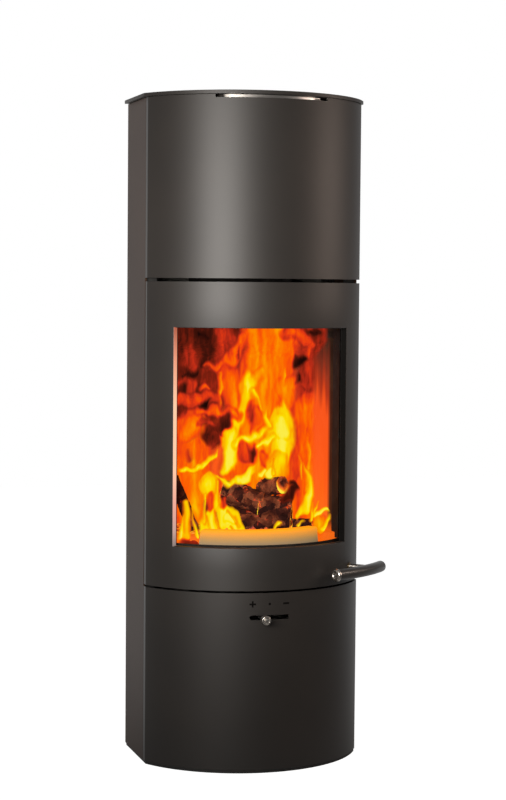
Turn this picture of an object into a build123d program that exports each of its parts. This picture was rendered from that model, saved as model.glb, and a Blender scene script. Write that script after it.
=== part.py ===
from build123d import *
from math import asin, cos, degrees, radians, sin, sqrt
import os

# Freestanding wood-burning stove with a curved front.
# Origin: on the floor, on the upright axis that the curved front is struck about.
# X to the right, Y to the back, Z up. Millimetres. Angles are taken from the
# middle of the front, positive to the right.

# Casing
body_width = 500.0
front_radius_ratio = 0.566
rear_reach = 62.4
body_height = 1500.0
cover_thickness = 4.0
panel_thickness = 4.0
side_panel_setback = 20.0
cover_return = 18.0
top_thickness = 8.0
top_overhang_side = 8.0
top_overhang_front = 3.0
top_shadow_gap = 1.0
top_edge_chamfer = 0.8
base_thickness = 6.0
base_inset = 2.0
base_shadow_gap = 1.0
lower_cover_height = 394.0
gap_under_door = 4.7
gap_over_door = 8.0
top_slot_angle = 27.0
top_slot_height = 8.0

# Frame inside the casing
post_leg = 25.0
post_thickness = 3.0
post_setback = 7.6
tab_height = 20.0
tab_forward = 25.0
tab_end_margin = 50.0
weld_gap = 0.2

# Levelling screws
screw_radius = 5.0
screw_length = 24.0
screw_lift = 1.0
screw_hex = 5.0
screw_hex_depth = 6.0
screw_side_margin = 55.0
screw_front_margin = 12.6
screw_rear_margin = 27.4
thread_clearance = 0.05

# Firebox
firebox_steel = 4.0
firebox_rear_gap = 18.0
frame_setback = 26.0
frame_thickness = 5.0
frame_end_margin = 3.0
mouth_side_step = 0.5
mouth_bottom_step = 3.0
mouth_top_step = 2.0
ash_mouth_side_gap = 8.0
ash_mouth_height = 56.0
ash_floor_drop = 70.0
fire_floor_drop = 6.0
fire_floor_thickness = 6.0
firebox_top_drop = 4.1
gas_passage_side_margin = 17.0
gas_passage_end_margin = 7.0

# Lining and what lies in the fire
brick_thickness = 27.0
liner_top_drop = 25.0
brick_gap = 0.3
floor_brick_height = 21.0
floor_brick_gap = 8.0
grate_width = 150.0
grate_rear_gap = 19.4
grate_thickness = 10.0
grate_corner_radius = 6.0
grate_ledge = 8.0
grate_bar_pitch = 16.0
grate_slot_width = 8.0
grate_slot_margin = 16.0
grate_slots = 8
retainer_setback = 24.0
retainer_thickness = 25.0
retainer_angle = 38.0
retainer_height = 39.0
retainer_end_chamfer = 8.0
ember_margin = 10.0
ember_side_gap = 40.0
ember_height = 10.0
ember_slope = 40.0
log_section = (1.0, 0.88, 0.97, 0.82, 0.94, 1.0, 0.86)
leaning_log_radius = 13.0
leaning_log_gap = 0.5
lower_baffle_thickness = 25.0
lower_baffle_setback = 157.0
upper_baffle_thickness = 4.0
upper_baffle_drop = 46.0
upper_baffle_rear_gap = 91.4
upper_baffle_gap = 6.0
baffle_rail_size = 12.0
baffle_rail_length = 50.0

# Ash pan
ash_pan_half_width = 115.0
ash_pan_setback = 92.0
ash_pan_depth = 130.0
ash_pan_height = 46.0
ash_pan_wall = 2.0
ash_pan_lift = 0.3
ash_grip_width = 60.0
ash_grip_reach = 20.0
ash_grip_drop = 6.0

# Smoke outlet
dome_width = 220.0
dome_depth = 96.0
dome_height = 170.0
dome_wall = 3.0
collar_outer_radius = 74.5
collar_wall = 3.0
collar_shoulder = 2.0
collar_rise = 85.0
collar_reach = 40.0
collar_clearance = 0.05
panel_hole_margin = 5.5

# Heat store
shelf_gap = 12.0
shelf_thickness = 4.0
stone_side_gap = 41.0
stone_rear_gap = 23.4
stone_top_gap = 26.5
stone_depth = 170.0
stone_gap = 0.5
stone_chamfer = 1.5
stone_count = 3
deflector_gap = 19.0
deflector_thickness = 2.0
deflector_height = 30.0

# Rear panel
vent_end_margin = 10.5
vent_width = 8.0
vent_pitch = 22.0
vent_count = 5
vent_base_margin = 124.0
vent_top_margin = 92.0
rear_screw_head_radius = 4.0
rear_screw_head = 3.0
rear_screw_radius = 2.0
rear_screw_length = 10.0
rear_screw_rows = 4
rear_screw_margin = 60.0

# Fire door
door_height = 678.4
door_skin = 5.0
door_return = 14.0
window_left_angle = 46.1
window_right_angle = 43.4
window_bottom_margin = 94.3
window_top_margin = 101.1
reveal_depth = 13.0
reveal_wall = 4.0
rib_angle = 57.0
rib_width = 4.0
rib_inset = 3.6
inner_frame_thickness = 3.0
glass_seal_thickness = 1.5
glass_seal_gap = 0.3
glass_thickness = 4.0
glass_overlap = 10.0
glass_edge_gap = 2.0
rope_width = 9.0
rope_inset = 2.4
rope_gap = 0.3
clamp_length = 22.0
clamp_height = 16.0
clamp_thickness = 2.5
clamp_grip = 6.0
clamp_end_margin = 45.0
clamp_screw_radius = 2.0
clamp_screw_head = 4.0
clamp_screw_head_height = 1.5
clamp_screw_seat = 0.05

# Hinges at the left
hinge_inset = 15.0
hinge_setback = 4.6
hinge_eye_radius = 9.0
eye_edge_radius = 2.0
hinge_pin_radius = 5.0
hinge_clearance = 0.05
hinge_thickness = 8.0
hinge_collar_height = 2.0
hinge_collar_radius = 8.0
hinge_float = 0.1
hinge_pin_top = 4.0
hinge_low_margin = 54.3
hinge_high_margin = 84.1
bracket_root_radius = 5.0
bracket_root_angle = 58.4

# Handle and latch at the right
handle_angle = 49.0
handle_rise = 34.8
handle_shaft_radius = 5.5
handle_bar_radius = 13.0
handle_bar_drop = 7.0
handle_start_angle = 29.8
handle_start_gap = 16.0
handle_start_heading_angle = 24.0
handle_bend_radius = 385.0
handle_sweep_angle = 28.0
handle_end_rounding = 5.0
handle_cap_radius = 14.7
handle_cap_thickness = 7.0
handle_cap_chamfer = 1.0
shaft_end_gap = 0.5
shaft_clearance = 0.05
bush_radius = 9.0
bush_flange = 1.0
tongue_width = 12.0
tongue_thickness = 3.0
tongue_face_gap = 3.8
tongue_end_angle = 58.5
tongue_drop_room = 32.0
tongue_hole_margin = 1.0
keeper_thickness = 4.0
keeper_gap = 1.5
keeper_drop = 12.5
keeper_height = 30.0
keeper_front_gap = 0.6
keeper_lip_angle = 57.3
keeper_lip_thickness = 2.5
keeper_lip_gap = 1.0

# Air control
air_slot_drop = 54.3
air_slot_height = 10.2
air_slot_left_angle = 10.2
air_slot_right_angle = 8.2
air_lever_angle = 4.3
air_lever_width = 12.0
air_lever_thickness = 4.0
air_lever_inner = 20.0
air_lever_end_gap = 17.0
air_lever_end_flat = 1.0
valve_radius = 50.0
valve_thickness = 3.0
valve_gap = 0.3
port_count = 8
port_circle = 31.0
port_length = 22.0
port_width = 9.0
air_box_width = 200.0
air_box_rear_gap = 6.4
air_box_wall = 2.0
air_inlet_length = 120.0
air_inlet_width = 36.0
air_inlet_y = 2.0
pivot_radius = 4.0
pivot_head_radius = 7.0
pivot_head_height = 5.0
pivot_nut_height = 6.0
pivot_end_length = 2.0
knob_radius = 10.0
knob_length = 19.0
knob_groove_outer = 6.4
knob_groove_inner = 4.4
knob_groove_depth = 1.2
knob_chamfer = 1.0
knob_stem_radius = 2.5
knob_standoff = 23.0
mark_rise = 29.9
mark_size = 12.0
mark_line = 2.5
mark_dot_radius = 2.3
mark_depth = 0.5
mark_spacing_angle = 7.8
mark_middle_angle = -1.0

# Levels and places that follow from the sizes above
half_width = body_width / 2
front_radius = body_width * front_radius_ratio
corner_y = -sqrt(front_radius ** 2 - half_width ** 2)
corner_angle = degrees(asin(half_width / front_radius))
rear_y = rear_reach
top_underside = body_height - top_thickness
lower_cover_bottom = base_thickness + base_shadow_gap
lower_cover_top = lower_cover_bottom + lower_cover_height
door_bottom = lower_cover_top + gap_under_door
door_top = door_bottom + door_height
window_bottom = door_bottom + window_bottom_margin
window_top = door_top - window_top_margin
upper_cover_bottom = door_top + gap_over_door
mouth_bottom = window_bottom + mouth_bottom_step
mouth_top = window_top + mouth_top_step
fire_floor_level = window_bottom - fire_floor_drop
ash_floor_level = fire_floor_level - ash_floor_drop
firebox_top_level = door_top - firebox_top_drop
liner_top = window_top - liner_top_drop
upper_baffle_level = firebox_top_level - upper_baffle_drop
collar_level = firebox_top_level + collar_rise
shelf_level = firebox_top_level + dome_height + shelf_gap + shelf_thickness
panel_inner_x = half_width - panel_thickness
cover_inner_radius = front_radius - cover_thickness
door_inner_radius = front_radius - door_skin
rear_panel_y = rear_y - panel_thickness
front_post_y = corner_y + side_panel_setback + post_setback
firebox_outer_x = panel_inner_x - post_leg
firebox_inner_x = firebox_outer_x - firebox_steel
liner_inner_x = firebox_inner_x - brick_thickness
mouth_half_width = liner_inner_x - mouth_side_step
back_wall_rear_y = rear_panel_y - firebox_rear_gap
back_wall_y = back_wall_rear_y - firebox_steel
back_liner_y = back_wall_y - brick_thickness
frame_outer_radius = front_radius - frame_setback
frame_inner_radius = frame_outer_radius - frame_thickness
frame_end_angle = degrees(asin(firebox_outer_x / frame_outer_radius))
side_wall_front_y = -sqrt(frame_inner_radius ** 2 - firebox_outer_x ** 2) + weld_gap
mouth_edge_y = -sqrt(frame_inner_radius ** 2 - mouth_half_width ** 2)
liner_front_y = -sqrt(frame_inner_radius ** 2 - firebox_inner_x ** 2) + brick_gap
mouth_rear_y = liner_front_y - brick_gap
plate_radius = frame_inner_radius - weld_gap
retainer_radius = frame_inner_radius - retainer_setback
retainer_end_y = -(retainer_radius - retainer_thickness) * cos(radians(retainer_angle))
ash_pan_front = -frame_inner_radius + ash_pan_setback
ash_mouth_half_width = ash_pan_half_width + ash_mouth_side_gap
grate_depth = back_liner_y - grate_rear_gap - ash_pan_front
grate_y = ash_pan_front + grate_depth / 2
reveal_inner_radius = front_radius - reveal_depth
glass_outer_radius = reveal_inner_radius - glass_seal_thickness
glass_inner_radius = glass_outer_radius - glass_thickness
inner_frame_radius = reveal_inner_radius - inner_frame_thickness
hinge_x = -(half_width - hinge_inset)
hinge_y = corner_y + hinge_setback
hinge_angle = degrees(asin(hinge_x / sqrt(hinge_x ** 2 + hinge_y ** 2)))
hinge_levels = (door_bottom + hinge_low_margin, door_top - hinge_high_margin)
handle_level = door_bottom + handle_rise
handle_bar_level = handle_level - handle_bar_drop
air_slot_level = lower_cover_top - air_slot_drop
mark_level = air_slot_level + mark_rise


def at_angle(radius, angle):
    """Plan position at a radius from the front's centre, at an angle from the middle."""
    return (radius * sin(radians(angle)), -radius * cos(radians(angle)))


def arc_angle(length, radius):
    """Angle in degrees that a length takes up along an arc."""
    return degrees(length / radius)


def arc_band(inner, outer, left, right):
    """Draws the plan of a band between two radii and two angles in the open sketch."""
    middle = (left + right) / 2
    with BuildLine() as outline:
        ThreePointArc(at_angle(outer, left), at_angle(outer, middle), at_angle(outer, right))
        Line(at_angle(outer, right), at_angle(inner, right))
        ThreePointArc(at_angle(inner, right), at_angle(inner, middle), at_angle(inner, left))
        Line(at_angle(inner, left), at_angle(outer, left))
    make_face(outline.edges())


def bowed_plate(radius, half, rear):
    """Draws the plan of a plate with a bowed front and straight sides in the open sketch."""
    front_corner = -sqrt(radius ** 2 - half ** 2)
    with BuildLine() as outline:
        ThreePointArc((-half, front_corner), (0, -radius), (half, front_corner))
        Polyline((half, front_corner), (half, rear), (-half, rear), (-half, front_corner))
    make_face(outline.edges())


def rectangle_between(x0, x1, y0, y1, mode=Mode.ADD):
    """Draws the rectangle between two corners in the open sketch."""
    with Locations(((x0 + x1) / 2, (y0 + y1) / 2)):
        Rectangle(abs(x1 - x0), abs(y1 - y0), mode=mode)


def radial_plane(radius, angle, level):
    """Plane across the radius at an angle and a level, facing away from the centre."""
    x, y = at_angle(radius, angle)
    outward = (sin(radians(angle)), -cos(radians(angle)), 0)
    along = (cos(radians(angle)), sin(radians(angle)), 0)
    return Plane(origin=(x, y, level), x_dir=along, z_dir=outward)


def save(piece, name):
    """Labels a finished piece and writes it to its own file."""
    piece.part.label = name
    export_step(piece.part, f"parts/{name}.step")


os.makedirs("parts", exist_ok=True)

# Base plate, with a threaded hole for a levelling screw near each corner
screw_places = [
    (side * (half_width - screw_side_margin), screw_y)
    for screw_y in (corner_y + screw_front_margin, rear_y - screw_rear_margin)
    for side in (-1, 1)
]
with BuildPart() as base_plate:
    with BuildSketch():
        bowed_plate(front_radius - base_inset, half_width - base_inset, rear_y - base_inset)
        with Locations(*screw_places):
            Circle(screw_radius + thread_clearance, mode=Mode.SUBTRACT)
    extrude(amount=base_thickness)
save(base_plate, "base_plate")

with BuildPart() as levelling_screws:
    with BuildSketch(Plane.XY.offset(screw_lift)):
        with Locations(*screw_places):
            Circle(screw_radius)
    extrude(amount=screw_length)
    with BuildSketch(Plane.XY.offset(screw_lift + screw_length)):
        with Locations(*screw_places):
            RegularPolygon(screw_hex / 2, 6)
    extrude(amount=-screw_hex_depth, mode=Mode.SUBTRACT)
save(levelling_screws, "levelling_screws")

# Places of the screws that hold the rear panel on the two rear posts
rear_screw_step = (top_underside - base_thickness - 2 * rear_screw_margin) / (rear_screw_rows - 1)
rear_screw_places = [
    (side * (panel_inner_x - post_leg / 2), base_thickness + rear_screw_margin + row * rear_screw_step)
    for side in (-1, 1)
    for row in range(rear_screw_rows)
]

# Four corner posts of folded angle, from the base plate to the top plate
post_places = {
    "front_left_post": (-1, front_post_y, 1),
    "front_right_post": (1, front_post_y, 1),
    "rear_left_post": (-1, rear_panel_y, -1),
    "rear_right_post": (1, rear_panel_y, -1),
}
for post_name, (side, face_y, inward) in post_places.items():
    with BuildPart() as post:
        with BuildSketch(Plane.XY.offset(base_thickness)):
            rectangle_between(
                side * firebox_outer_x, side * panel_inner_x, face_y, face_y + inward * post_thickness
            )
            rectangle_between(
                side * (panel_inner_x - post_thickness),
                side * panel_inner_x,
                face_y,
                face_y + inward * post_leg,
            )
        extrude(amount=top_underside - base_thickness)
        if inward == -1:
            with BuildSketch(Plane.XZ.offset(-rear_y)):
                with Locations(*rear_screw_places):
                    Circle(rear_screw_radius + thread_clearance)
            extrude(amount=rear_screw_length, mode=Mode.SUBTRACT)
    save(post, post_name)

# Flat side panels, full height
for side, panel_name in ((-1, "left_side_panel"), (1, "right_side_panel")):
    with BuildPart() as side_panel:
        with BuildSketch(Plane.XY.offset(base_thickness)):
            rectangle_between(
                side * panel_inner_x, side * half_width, corner_y + side_panel_setback, rear_y
            )
        extrude(amount=top_underside - top_shadow_gap - base_thickness)
    save(side_panel, panel_name)

# Rear panel with two fields of air slots and a hole for the flue collar
panel_hole_radius = collar_outer_radius + panel_hole_margin
vent_side_offset = (firebox_outer_x + panel_hole_radius) / 2
vent_length = firebox_outer_x - panel_hole_radius - 2 * vent_end_margin
with BuildPart() as rear_panel:
    with BuildSketch(Plane.XY.offset(base_thickness)):
        rectangle_between(-panel_inner_x, panel_inner_x, rear_panel_y, rear_y)
    extrude(amount=top_underside - top_shadow_gap - base_thickness)
    with BuildSketch(Plane.XZ.offset(-rear_y)):
        with Locations((0, collar_level)):
            Circle(panel_hole_radius)
        with Locations(*rear_screw_places):
            Circle(rear_screw_radius + thread_clearance)
        for vent_level in (base_thickness + vent_base_margin, top_underside - vent_top_margin):
            for vent_side in (-1, 1):
                with Locations((vent_side * vent_side_offset, vent_level)):
                    with GridLocations(0, vent_pitch, 1, vent_count):
                        SlotOverall(vent_length, vent_width)
    extrude(amount=panel_thickness, mode=Mode.SUBTRACT)
save(rear_panel, "rear_panel")

with BuildPart() as rear_panel_screws:
    with BuildSketch(Plane.XZ.offset(-rear_y)):
        with Locations(*rear_screw_places):
            Circle(rear_screw_radius)
    extrude(amount=rear_screw_length)
    with BuildSketch(Plane.XZ.offset(-rear_y)):
        with Locations(*rear_screw_places):
            Circle(rear_screw_head_radius)
    extrude(amount=-rear_screw_head)
    chamfer(rear_panel_screws.faces().group_by(Axis.Y)[-1].edges(), rear_screw_head / 4)
save(rear_panel_screws, "rear_panel_screws")

# Top plate, proud of the casing at the sides and the front
with BuildPart() as top_plate:
    with BuildSketch(Plane.XY.offset(top_underside)):
        bowed_plate(front_radius + top_overhang_front, half_width + top_overhang_side, rear_y)
    extrude(amount=top_thickness)
    chamfer(top_plate.faces().sort_by(Axis.Z)[-1].edges(), top_edge_chamfer)
save(top_plate, "top_plate")


def front_cover_plan(sheet, return_depth):
    """Draws the plan of a curved front sheet with both edges bent back."""
    arc_band(front_radius - sheet, front_radius, -corner_angle, corner_angle)
    for edge in (-1, 1):
        rectangle_between(
            edge * (half_width - sheet), edge * half_width, corner_y, corner_y + return_depth
        )


# Upper front cover, with the long slot in its top edge
with BuildPart() as upper_front_cover:
    with BuildSketch(Plane.XY.offset(upper_cover_bottom)):
        front_cover_plan(cover_thickness, cover_return)
    extrude(amount=top_underside - top_shadow_gap - upper_cover_bottom)
    with BuildSketch(Plane.XY.offset(top_underside - top_slot_height)):
        arc_band(
            cover_inner_radius - cover_thickness,
            front_radius + cover_thickness,
            -top_slot_angle,
            top_slot_angle,
        )
    extrude(amount=top_slot_height, mode=Mode.SUBTRACT)
save(upper_front_cover, "upper_front_cover")

# Lower front cover, with the slot for the air lever and three shallow plain marks
mark_angles = [mark_middle_angle + step * mark_spacing_angle for step in (-1, 0, 1)]
slot_left = -air_slot_left_angle + arc_angle(air_slot_height / 2, front_radius)
with BuildPart() as lower_front_cover:
    with BuildSketch(Plane.XY.offset(lower_cover_bottom)):
        front_cover_plan(cover_thickness, cover_return)
    extrude(amount=lower_cover_height)
    with BuildSketch(Plane.XY.offset(air_slot_level - air_slot_height / 2)):
        arc_band(
            cover_inner_radius - cover_thickness,
            front_radius + cover_thickness,
            slot_left,
            air_slot_right_angle,
        )
    extrude(amount=air_slot_height, mode=Mode.SUBTRACT)
    with BuildSketch(radial_plane(front_radius + cover_thickness, slot_left, air_slot_level)):
        Circle(air_slot_height / 2)
    extrude(amount=-3 * cover_thickness, mode=Mode.SUBTRACT)
    mark_face = front_radius - mark_depth
    with BuildSketch(radial_plane(mark_face, mark_angles[0], mark_level)):
        Rectangle(mark_size, mark_line)
        Rectangle(mark_line, mark_size)
    extrude(amount=cover_thickness, mode=Mode.SUBTRACT)
    with BuildSketch(radial_plane(mark_face, mark_angles[1], mark_level)):
        Circle(mark_dot_radius)
    extrude(amount=cover_thickness, mode=Mode.SUBTRACT)
    with BuildSketch(radial_plane(mark_face, mark_angles[2], mark_level)):
        Rectangle(mark_size, mark_line)
    extrude(amount=cover_thickness, mode=Mode.SUBTRACT)
save(lower_front_cover, "lower_front_cover")

# Tabs on the front posts that the two covers hang on
tab_levels = [
    base_thickness + tab_end_margin,
    lower_cover_top - tab_end_margin - tab_height,
    upper_cover_bottom + tab_end_margin,
    top_underside - tab_end_margin - tab_height,
]
with BuildPart() as cover_tabs:
    for tab_level in tab_levels:
        with BuildSketch(Plane.XY.offset(tab_level)):
            for side in (-1, 1):
                rectangle_between(
                    side * (panel_inner_x - post_thickness),
                    side * panel_inner_x,
                    front_post_y - tab_forward,
                    front_post_y,
                )
        extrude(amount=tab_height)
save(cover_tabs, "cover_tabs")

# Bright strip behind the top slot that keeps the rising heat off the cover's edge
deflector_radius = cover_inner_radius - deflector_gap
with BuildPart() as heat_deflector:
    with BuildSketch(Plane.XY.offset(top_underside - deflector_height)):
        arc_band(
            deflector_radius - deflector_thickness,
            deflector_radius,
            -top_slot_angle,
            top_slot_angle,
        )
    extrude(amount=deflector_height)
save(heat_deflector, "heat_deflector")

# Welded firebox: two side walls, the back wall and three level plates
wall_height = firebox_top_level - (ash_floor_level - firebox_steel)
wall_base = ash_floor_level - firebox_steel
for side, wall_name in ((-1, "firebox_left_wall"), (1, "firebox_right_wall")):
    with BuildPart() as side_wall:
        with BuildSketch(Plane.XY.offset(wall_base)):
            rectangle_between(
                side * firebox_inner_x, side * firebox_outer_x, side_wall_front_y, back_wall_y
            )
        extrude(amount=wall_height)
    save(side_wall, wall_name)

with BuildPart() as firebox_back_wall:
    with BuildSketch(Plane.XY.offset(wall_base)):
        rectangle_between(-firebox_outer_x, firebox_outer_x, back_wall_y, back_wall_rear_y)
    extrude(amount=wall_height)
save(firebox_back_wall, "firebox_back_wall")

with BuildPart() as firebox_bottom:
    with BuildSketch(Plane.XY.offset(wall_base)):
        bowed_plate(plate_radius, firebox_inner_x, back_wall_y)
        with Locations((0, air_inlet_y)):
            SlotOverall(air_inlet_length, air_inlet_width, mode=Mode.SUBTRACT)
    extrude(amount=firebox_steel)
save(firebox_bottom, "firebox_bottom")

with BuildPart() as firebox_floor:
    with BuildSketch(Plane.XY.offset(fire_floor_level - fire_floor_thickness)):
        bowed_plate(plate_radius, firebox_inner_x, back_wall_y)
        with Locations((0, grate_y)):
            Rectangle(
                grate_width - 2 * grate_ledge, grate_depth - 2 * grate_ledge, mode=Mode.SUBTRACT
            )
    extrude(amount=fire_floor_thickness)
save(firebox_floor, "firebox_floor")

with BuildPart() as firebox_top:
    with BuildSketch(Plane.XY.offset(firebox_top_level - firebox_steel)):
        bowed_plate(plate_radius, firebox_inner_x, back_wall_y)
        with Locations((0, back_wall_y - dome_depth / 2)):
            Rectangle(
                dome_width - 2 * (dome_wall + gas_passage_side_margin),
                dome_depth - 2 * (dome_wall + gas_passage_end_margin),
                mode=Mode.SUBTRACT,
            )
    extrude(amount=firebox_steel)
save(firebox_top, "firebox_top")

# Curved front frame of the firebox, with the fire mouth and the ash mouth cut through it
frame_bottom = door_bottom + frame_end_margin
frame_top = door_top - frame_end_margin
with BuildPart() as front_frame:
    with BuildSketch(Plane.XY.offset(frame_bottom)):
        arc_band(frame_inner_radius, frame_outer_radius, -frame_end_angle, frame_end_angle)
    extrude(amount=frame_top - frame_bottom)
    with BuildSketch(Plane.XY.offset(mouth_bottom)):
        for side in (-1, 1):
            rectangle_between(
                side * mouth_half_width,
                side * (mouth_half_width + firebox_steel),
                mouth_edge_y - frame_thickness / 2,
                mouth_rear_y,
            )
    extrude(amount=mouth_top - mouth_bottom)
    with BuildSketch(Plane.XY.offset(mouth_bottom)):
        rectangle_between(-mouth_half_width, mouth_half_width, -front_radius, mouth_rear_y)
    extrude(amount=mouth_top - mouth_bottom, mode=Mode.SUBTRACT)
    with BuildSketch(Plane.XY.offset(ash_floor_level)):
        rectangle_between(-ash_mouth_half_width, ash_mouth_half_width, -front_radius, corner_y)
    extrude(amount=ash_mouth_height, mode=Mode.SUBTRACT)
save(front_frame, "front_frame")

# Firebrick lining
for side, liner_name in ((-1, "left_liner"), (1, "right_liner")):
    with BuildPart() as side_liner:
        with BuildSketch(Plane.XY.offset(fire_floor_level)):
            rectangle_between(
                side * liner_inner_x, side * firebox_inner_x, liner_front_y, back_wall_y
            )
        extrude(amount=liner_top - fire_floor_level)
    save(side_liner, liner_name)

with BuildPart() as back_liner:
    with BuildSketch(Plane.XY.offset(fire_floor_level)):
        rectangle_between(
            -liner_inner_x + brick_gap, liner_inner_x - brick_gap, back_liner_y, back_wall_y
        )
    extrude(amount=liner_top - fire_floor_level)
save(back_liner, "back_liner")

with BuildPart() as floor_bricks:
    with BuildSketch(Plane.XY.offset(fire_floor_level)):
        for side in (-1, 1):
            rectangle_between(
                side * (grate_width / 2 + brick_gap),
                side * (mouth_half_width - brick_gap),
                retainer_end_y + floor_brick_gap,
                back_liner_y - brick_gap,
            )
    extrude(amount=floor_brick_height)
save(floor_bricks, "floor_bricks")

with BuildPart() as log_retainer:
    with BuildSketch(Plane.XY.offset(fire_floor_level)):
        arc_band(
            retainer_radius - retainer_thickness, retainer_radius, -retainer_angle, retainer_angle
        )
    extrude(amount=retainer_height)
    end_edges = log_retainer.faces().sort_by(Axis.Z)[-1].edges().filter_by(GeomType.LINE)
    chamfer(end_edges, retainer_end_chamfer)
save(log_retainer, "log_retainer")

with BuildPart() as grate:
    with BuildSketch(Plane.XY.offset(fire_floor_level)):
        with Locations((0, grate_y)):
            RectangleRounded(grate_width, grate_depth, grate_corner_radius)
            with GridLocations(grate_bar_pitch, 0, grate_slots, 1):
                SlotOverall(
                    grate_depth - 2 * grate_slot_margin,
                    grate_slot_width,
                    rotation=90,
                    mode=Mode.SUBTRACT,
                )
    extrude(amount=grate_thickness)
save(grate, "grate")

# Burning logs: split logs stacked on a bed of embers, which lies on the grate and the bricks.
# Each log has its two ends, measured from over the grate's middle at the bricks' top, and a radius.
bed_level = fire_floor_level + grate_thickness
log_level = fire_floor_level + floor_brick_height
leaning_log_top = -liner_inner_x + leaning_log_radius + leaning_log_gap
logs = (
    ((-100, 33, 37), (110, 33, 41), 34),
    ((-45, -37, 23), (85, -41, 25), 20),
    ((20, -15, 57), (94, -33, 51), 29),
    ((-58, 15, 91), (30, -15, 65), 26),
    ((12, 28, 92), (73, -37, 110), 20),
    ((90, -48, 18), (136, -50, 18), 12),
    ((leaning_log_top, 5, 125), (-136, -40, 7), leaning_log_radius),
)
with BuildPart() as burning_logs:
    with BuildSketch(Plane.XY.offset(bed_level)):
        with Locations((0, grate_y)):
            Rectangle(grate_width, grate_depth - 2 * ember_margin)
    extrude(amount=log_level - bed_level)
    with BuildSketch(Plane.XY.offset(log_level)):
        rectangle_between(
            -liner_inner_x + ember_side_gap,
            liner_inner_x - ember_side_gap,
            ash_pan_front + ember_margin,
            back_liner_y - ember_margin,
        )
    extrude(amount=ember_height, taper=ember_slope)
    for first_end, second_end, radius in logs:
        start = Vector(0, grate_y, log_level) + Vector(*first_end)
        length = Vector(*second_end) - Vector(*first_end)
        with BuildSketch(Plane(origin=start, z_dir=length)):
            with BuildLine():
                turn = 360 / len(log_section)
                Polyline(
                    [at_angle(radius * share, turn * side) for side, share in enumerate(log_section)],
                    close=True,
                )
            make_face()
        extrude(amount=length.length)
save(burning_logs, "burning_logs")

# Baffles over the fire, and the rails that the upper one lies on
with BuildPart() as lower_baffle:
    with BuildSketch(Plane.XY.offset(liner_top)):
        rectangle_between(
            -firebox_inner_x + brick_gap,
            firebox_inner_x - brick_gap,
            -frame_inner_radius + lower_baffle_setback,
            back_wall_y - brick_gap,
        )
    extrude(amount=lower_baffle_thickness)
save(lower_baffle, "lower_baffle")

upper_baffle_rear = back_wall_y - upper_baffle_rear_gap
with BuildPart() as upper_baffle:
    with BuildSketch(Plane.XY.offset(upper_baffle_level - upper_baffle_thickness)):
        bowed_plate(
            frame_inner_radius - upper_baffle_gap, firebox_inner_x - brick_gap, upper_baffle_rear
        )
    extrude(amount=upper_baffle_thickness)
save(upper_baffle, "upper_baffle")

with BuildPart() as baffle_rails:
    rail_level = upper_baffle_level - upper_baffle_thickness - baffle_rail_size
    with BuildSketch(Plane.XY.offset(rail_level)):
        for side in (-1, 1):
            rectangle_between(
                side * (firebox_inner_x - baffle_rail_size),
                side * firebox_inner_x,
                upper_baffle_rear - baffle_rail_length,
                upper_baffle_rear,
            )
    extrude(amount=baffle_rail_size)
save(baffle_rails, "baffle_rails")

# Ash pan: a folded tray with a grip at the front, on the firebox bottom
with BuildPart() as ash_pan:
    with BuildSketch(Plane.XY.offset(ash_floor_level + ash_pan_lift)):
        rectangle_between(
            -ash_pan_half_width, ash_pan_half_width, ash_pan_front, ash_pan_front + ash_pan_depth
        )
    extrude(amount=ash_pan_height)
    offset(amount=-ash_pan_wall, openings=ash_pan.faces().sort_by(Axis.Z)[-1])
    grip_level = ash_floor_level + ash_pan_lift + ash_pan_height - ash_grip_drop
    with BuildSketch(Plane.XY.offset(grip_level)):
        rectangle_between(
            -ash_grip_width / 2,
            ash_grip_width / 2,
            ash_pan_front - ash_grip_reach,
            ash_pan_front + ash_pan_wall / 2,
        )
    extrude(amount=ash_pan_wall)
    grip_front = ash_pan.faces().sort_by(Axis.Y)[0].edges().filter_by(Axis.Z)
    fillet(grip_front, ash_grip_reach / 3)
save(ash_pan, "ash_pan")

# Smoke dome over the gas passage, and the collar that carries the flue pipe
with BuildPart() as smoke_dome:
    with BuildSketch(Plane.XY.offset(firebox_top_level)):
        rectangle_between(
            -dome_width / 2, dome_width / 2, back_wall_y - dome_depth, back_wall_y
        )
    extrude(amount=dome_height)
    offset(amount=-dome_wall, openings=smoke_dome.faces().sort_by(Axis.Z)[0])
    with BuildSketch(Plane.XZ.offset(-back_wall_y)):
        with Locations((0, collar_level)):
            Circle(collar_outer_radius + collar_shoulder + collar_clearance)
    extrude(amount=2 * dome_wall, mode=Mode.SUBTRACT)
save(smoke_dome, "smoke_dome")

# The collar steps down to a spigot at the casing's back, and the pipe stops at the step
with BuildPart() as flue_collar:
    for ring_radius, ring_end in (
        (collar_outer_radius + collar_shoulder, rear_y),
        (collar_outer_radius, rear_y + collar_reach),
    ):
        with BuildSketch(Plane.XZ.offset(-(back_wall_y - dome_wall))):
            with Locations((0, collar_level)):
                Circle(ring_radius)
                Circle(collar_outer_radius - collar_wall, mode=Mode.SUBTRACT)
        extrude(amount=-(ring_end - back_wall_y + dome_wall))
save(flue_collar, "flue_collar")

# Shelf in the upper compartment, and the heat storage stones stacked on it
stone_y = rear_panel_y - stone_rear_gap - stone_depth / 2
stone_step = (top_underside - stone_top_gap - shelf_level) / stone_count
with BuildPart() as stone_shelf:
    with BuildSketch(Plane.XY.offset(shelf_level - shelf_thickness)):
        rectangle_between(
            -panel_inner_x + post_thickness,
            panel_inner_x - post_thickness,
            front_post_y + post_thickness,
            rear_panel_y - post_thickness,
        )
        rectangle_between(
            -firebox_inner_x,
            firebox_inner_x,
            stone_y - stone_depth / 2,
            front_post_y + post_thickness,
        )
    extrude(amount=shelf_thickness)
save(stone_shelf, "stone_shelf")

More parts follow.
